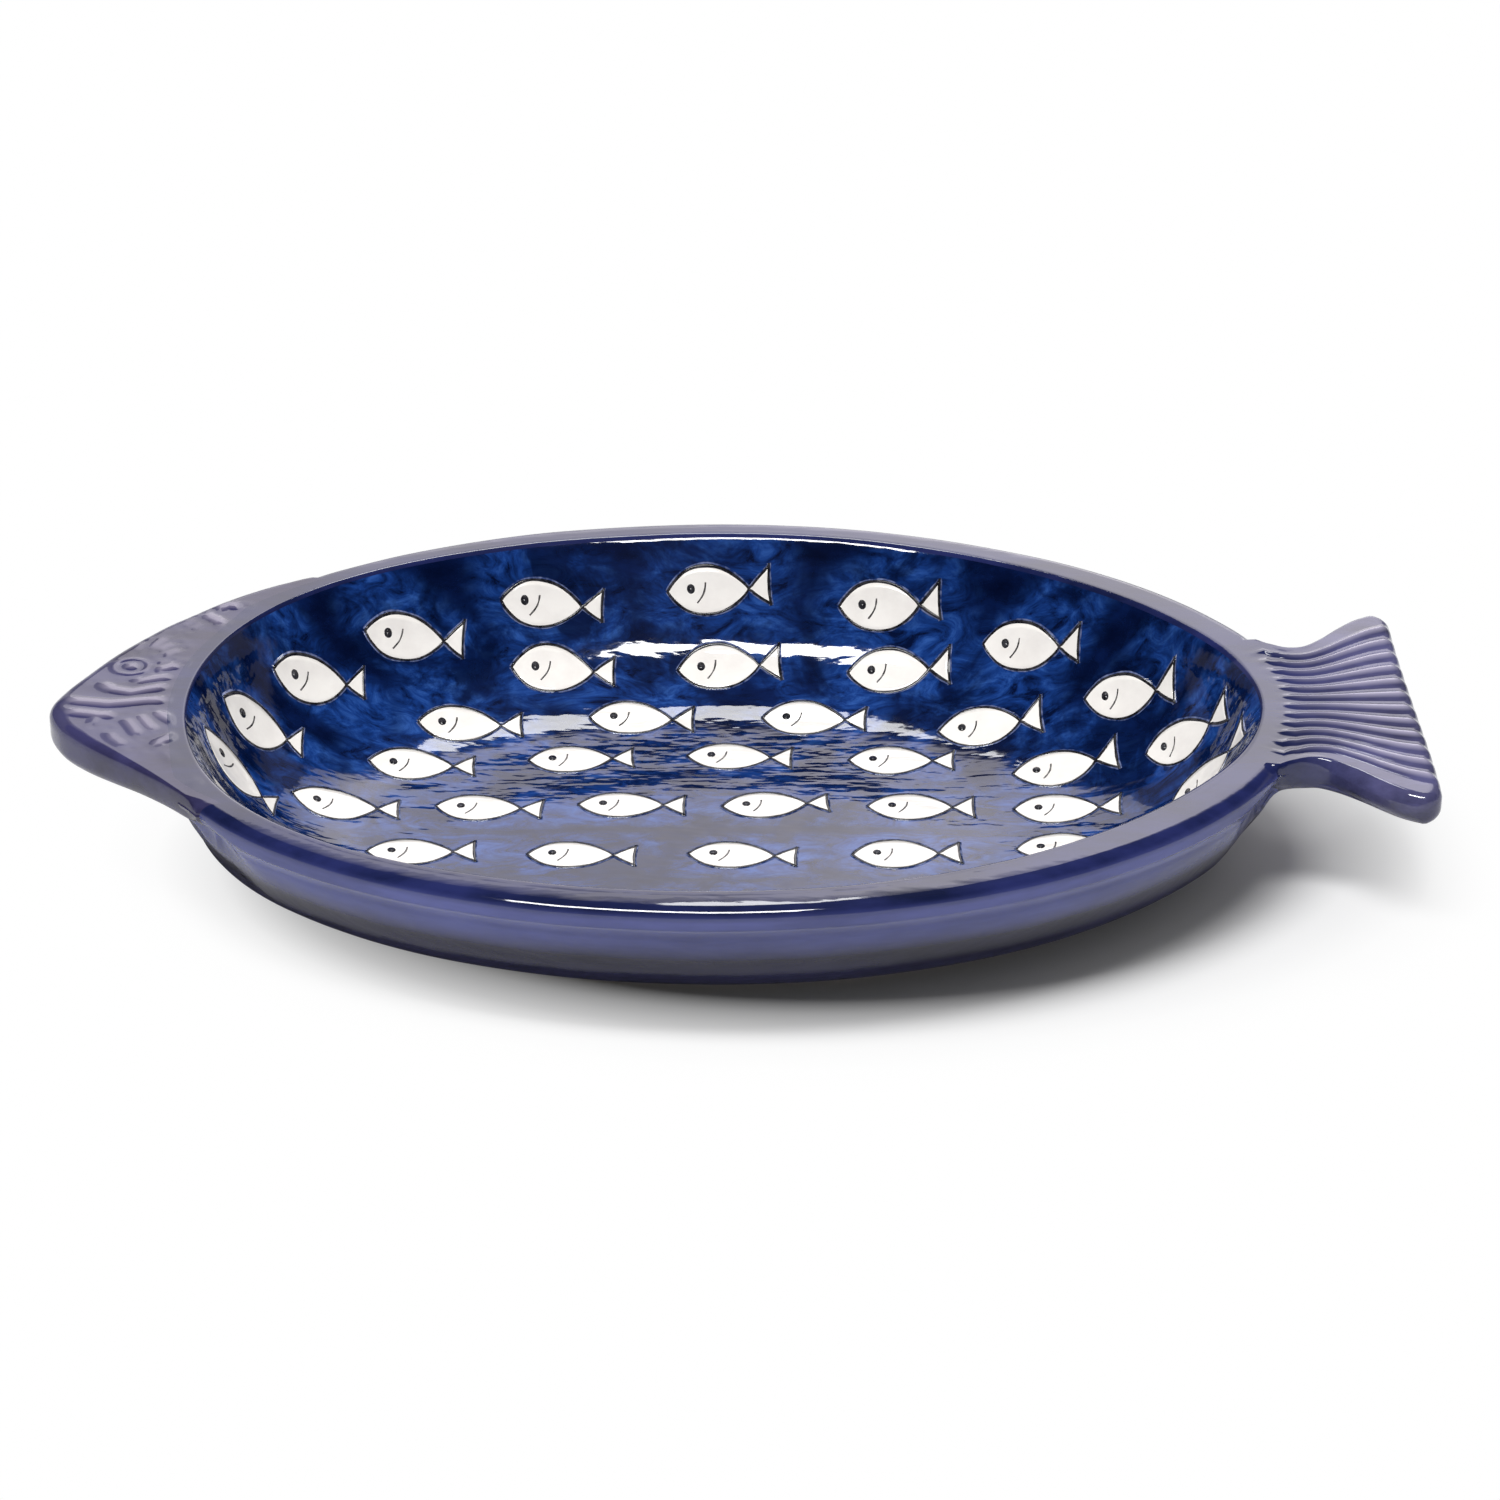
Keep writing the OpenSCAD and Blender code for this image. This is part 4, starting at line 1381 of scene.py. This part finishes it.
# %% [markdown]
# ## The studio
# The floor is pale and keeps the soft shadow. Further out it turns to plain white for the camera, so that
# it has no horizon. Nearer in, that glow for the camera already lifts the outer part of the shadow in steps,
# which is painted light. The main lamp stands high in front, slightly to the left. A small strip high behind
# draws the thin light along the near lip, and a broad dim panel stands lower behind. The room is white
# behind, which the flat glaze mirrors as a pale veil, and dark in front, which keeps the walls deep blue.

# %% Floor
floor_half = 4
paper = (0.76, 0.76, 0.76)
# The oval sits towards the tail, and its steps lift the shadow's outer part in stages: painted light on the
# floor
glow_middle = (30 * mm, 0, 0)
glow_reach = (340 * mm, 200 * mm, 1)
glow_steps = [(0.455, 0.0), (0.5, 0.28), (0.55, 0.5), (0.6, 0.82), (0.66, 0.97), (0.72, 1.0)]


def mix_shaders(tree, share, low, high):
    node = tree.nodes.new("ShaderNodeMixShader")
    for socket, value in zip(node.inputs, (share, low, high)):
        tree.links.new(value, socket)
    return node.outputs["Shader"]


sheet = bmesh.new()
bmesh.ops.create_grid(sheet, x_segments=1, y_segments=1, size=floor_half)
floor = as_object("studio_floor", sheet)
floor_material, tree, shader = start_material("studio_paper")
feed(tree, shader.inputs["Base Color"], paper)
shader.inputs["Roughness"].default_value = 1.0
shader.inputs["Specular IOR Level"].default_value = 0.0
place = tree.nodes.new("ShaderNodeTexCoord")
oval = tree.nodes.new("ShaderNodeMapping")
oval.vector_type = "TEXTURE"
oval.inputs["Location"].default_value = glow_middle
oval.inputs["Scale"].default_value = glow_reach
tree.links.new(place.outputs["Object"], oval.inputs["Vector"])
reach = tree.nodes.new("ShaderNodeVectorMath")
reach.operation = "LENGTH"
tree.links.new(oval.outputs["Vector"], reach.inputs[0])
shadow_lift_and_white = share_ramp(tree, reach.outputs["Value"], glow_steps)
path = tree.nodes.new("ShaderNodeLightPath")
seen = combine(tree, "MAXIMUM", path.outputs["Is Camera Ray"], path.outputs["Is Transmission Ray"])
glow = tree.nodes.new("ShaderNodeEmission")
glow.inputs["Strength"].default_value = 1.0
white_share = combine(tree, "MULTIPLY", shadow_lift_and_white, seen)
both = mix_shaders(tree, white_share, shader.outputs["BSDF"], glow.outputs["Emission"])
output = next(node for node in tree.nodes if node.bl_idname == "ShaderNodeOutputMaterial")
tree.links.new(both, output.inputs["Surface"])
floor.data.materials.append(floor_material)
print("the floor is", 2 * floor_half, "m wide")

# %% Lamps
def soft_lamp(name, place, aim, width, height, watts):
    light = bpy.data.lights.new(name, "AREA")
    light.shape = "RECTANGLE"
    light.size = width
    light.size_y = height
    light.energy = watts
    lamp = bpy.data.objects.new(name, light)
    lamp.location = place
    lamp.rotation_euler = (Vector(aim) - Vector(place)).to_track_quat("-Z", "Y").to_euler()
    bpy.context.collection.objects.link(lamp)
    print(name, watts, "W")
    return lamp


soft_lamp("high_lamp", (-0.14, -0.6, 1.408), (0, 0, 0), 0.78, 0.26, 22)
soft_lamp("back_strip", (0.03, 0.98, 1.42), (0, 0, 0), 0.22, 0.34, 2.6)
panel = soft_lamp("rear_panel", (0.1, 1.8, 0.98), (0, 0, 0.05), 1.5, 1.2, 6)
panel.data.color = (1, 0.955, 0.985)

# %% World: white behind, dimmer in front, as in a room with one white wall
ceiling_steps = [(0.0, 0.3), (1.0, 1)]
wall_steps = [
    (0.47, (0.03, 0.029, 0.03)), (0.53, (1, 0.955, 0.985)), (0.68, (0.66, 0.63, 0.65)),
    (0.84, (0.36, 0.344, 0.355)), (0.92, (0.85, 0.81, 0.84))
]
side_steps = [(0.3, 0.1), (0.44, 0.52), (0.49, 0.58), (0.53, 0.96), (0.58, 0.94), (0.7, 0.1)]


def background(colour, strength):
    node = tree.nodes.new("ShaderNodeBackground")
    feed(tree, node.inputs["Color"], colour)
    node.inputs["Strength"].default_value = strength
    return node.outputs["Background"]


def from_0_to_1(value):
    """A direction's share, which runs from -1 to 1, as a ramp takes it."""
    return combine(tree, "MULTIPLY_ADD", value, 0.5, 0.5)


world = bpy.data.worlds.new("studio_world")
bpy.context.scene.world = world
world.use_nodes = True
tree = world.node_tree
tree.nodes.clear()
right, back, up = [coordinate(tree, "Generated", axis) for axis in "XYZ"]
low_behind = combine(tree, "SUBTRACT", back, up)
wall_light = ramp(tree, from_0_to_1(low_behind), wall_steps)
side_light = share_ramp(tree, from_0_to_1(right), side_steps)
room = blend_colours(tree, 1.0, wall_light, side_light, "MULTIPLY")
ground_light = background(share_ramp(tree, up, ceiling_steps), 0.55)
mirror_light = background(room, 3.1)
camera_light = background((1, 1, 1), 1.0)
path = tree.nodes.new("ShaderNodeLightPath")
unseen = mix_shaders(tree, path.outputs["Is Glossy Ray"], ground_light, mirror_light)
whole = mix_shaders(tree, path.outputs["Is Camera Ray"], unseen, camera_light)
output = tree.nodes.new("ShaderNodeOutputWorld")
tree.links.new(whole, output.inputs["Surface"])
print(world.name, len(tree.nodes), "nodes")

# %% Camera, at the photograph's angle
camera_data = bpy.data.cameras.new("camera")
camera_data.sensor_width = 36
camera_data.lens = 117.8
camera = bpy.data.objects.new("camera", camera_data)
camera.location = (0.0004, -1.4073, 0.8518)
aim = Vector((0.0045, -0.0324, 0.058))
camera_way = aim - camera.location
camera.rotation_euler = camera_way.to_track_quat("-Z", "Y").to_euler()
bpy.context.collection.objects.link(camera)
print("the camera looks down by", round(math.degrees(math.asin(-camera_way.normalized().z)), 1), "degrees")
bpy.context.scene.camera = camera
bpy.context.scene.view_settings.view_transform = "Standard"
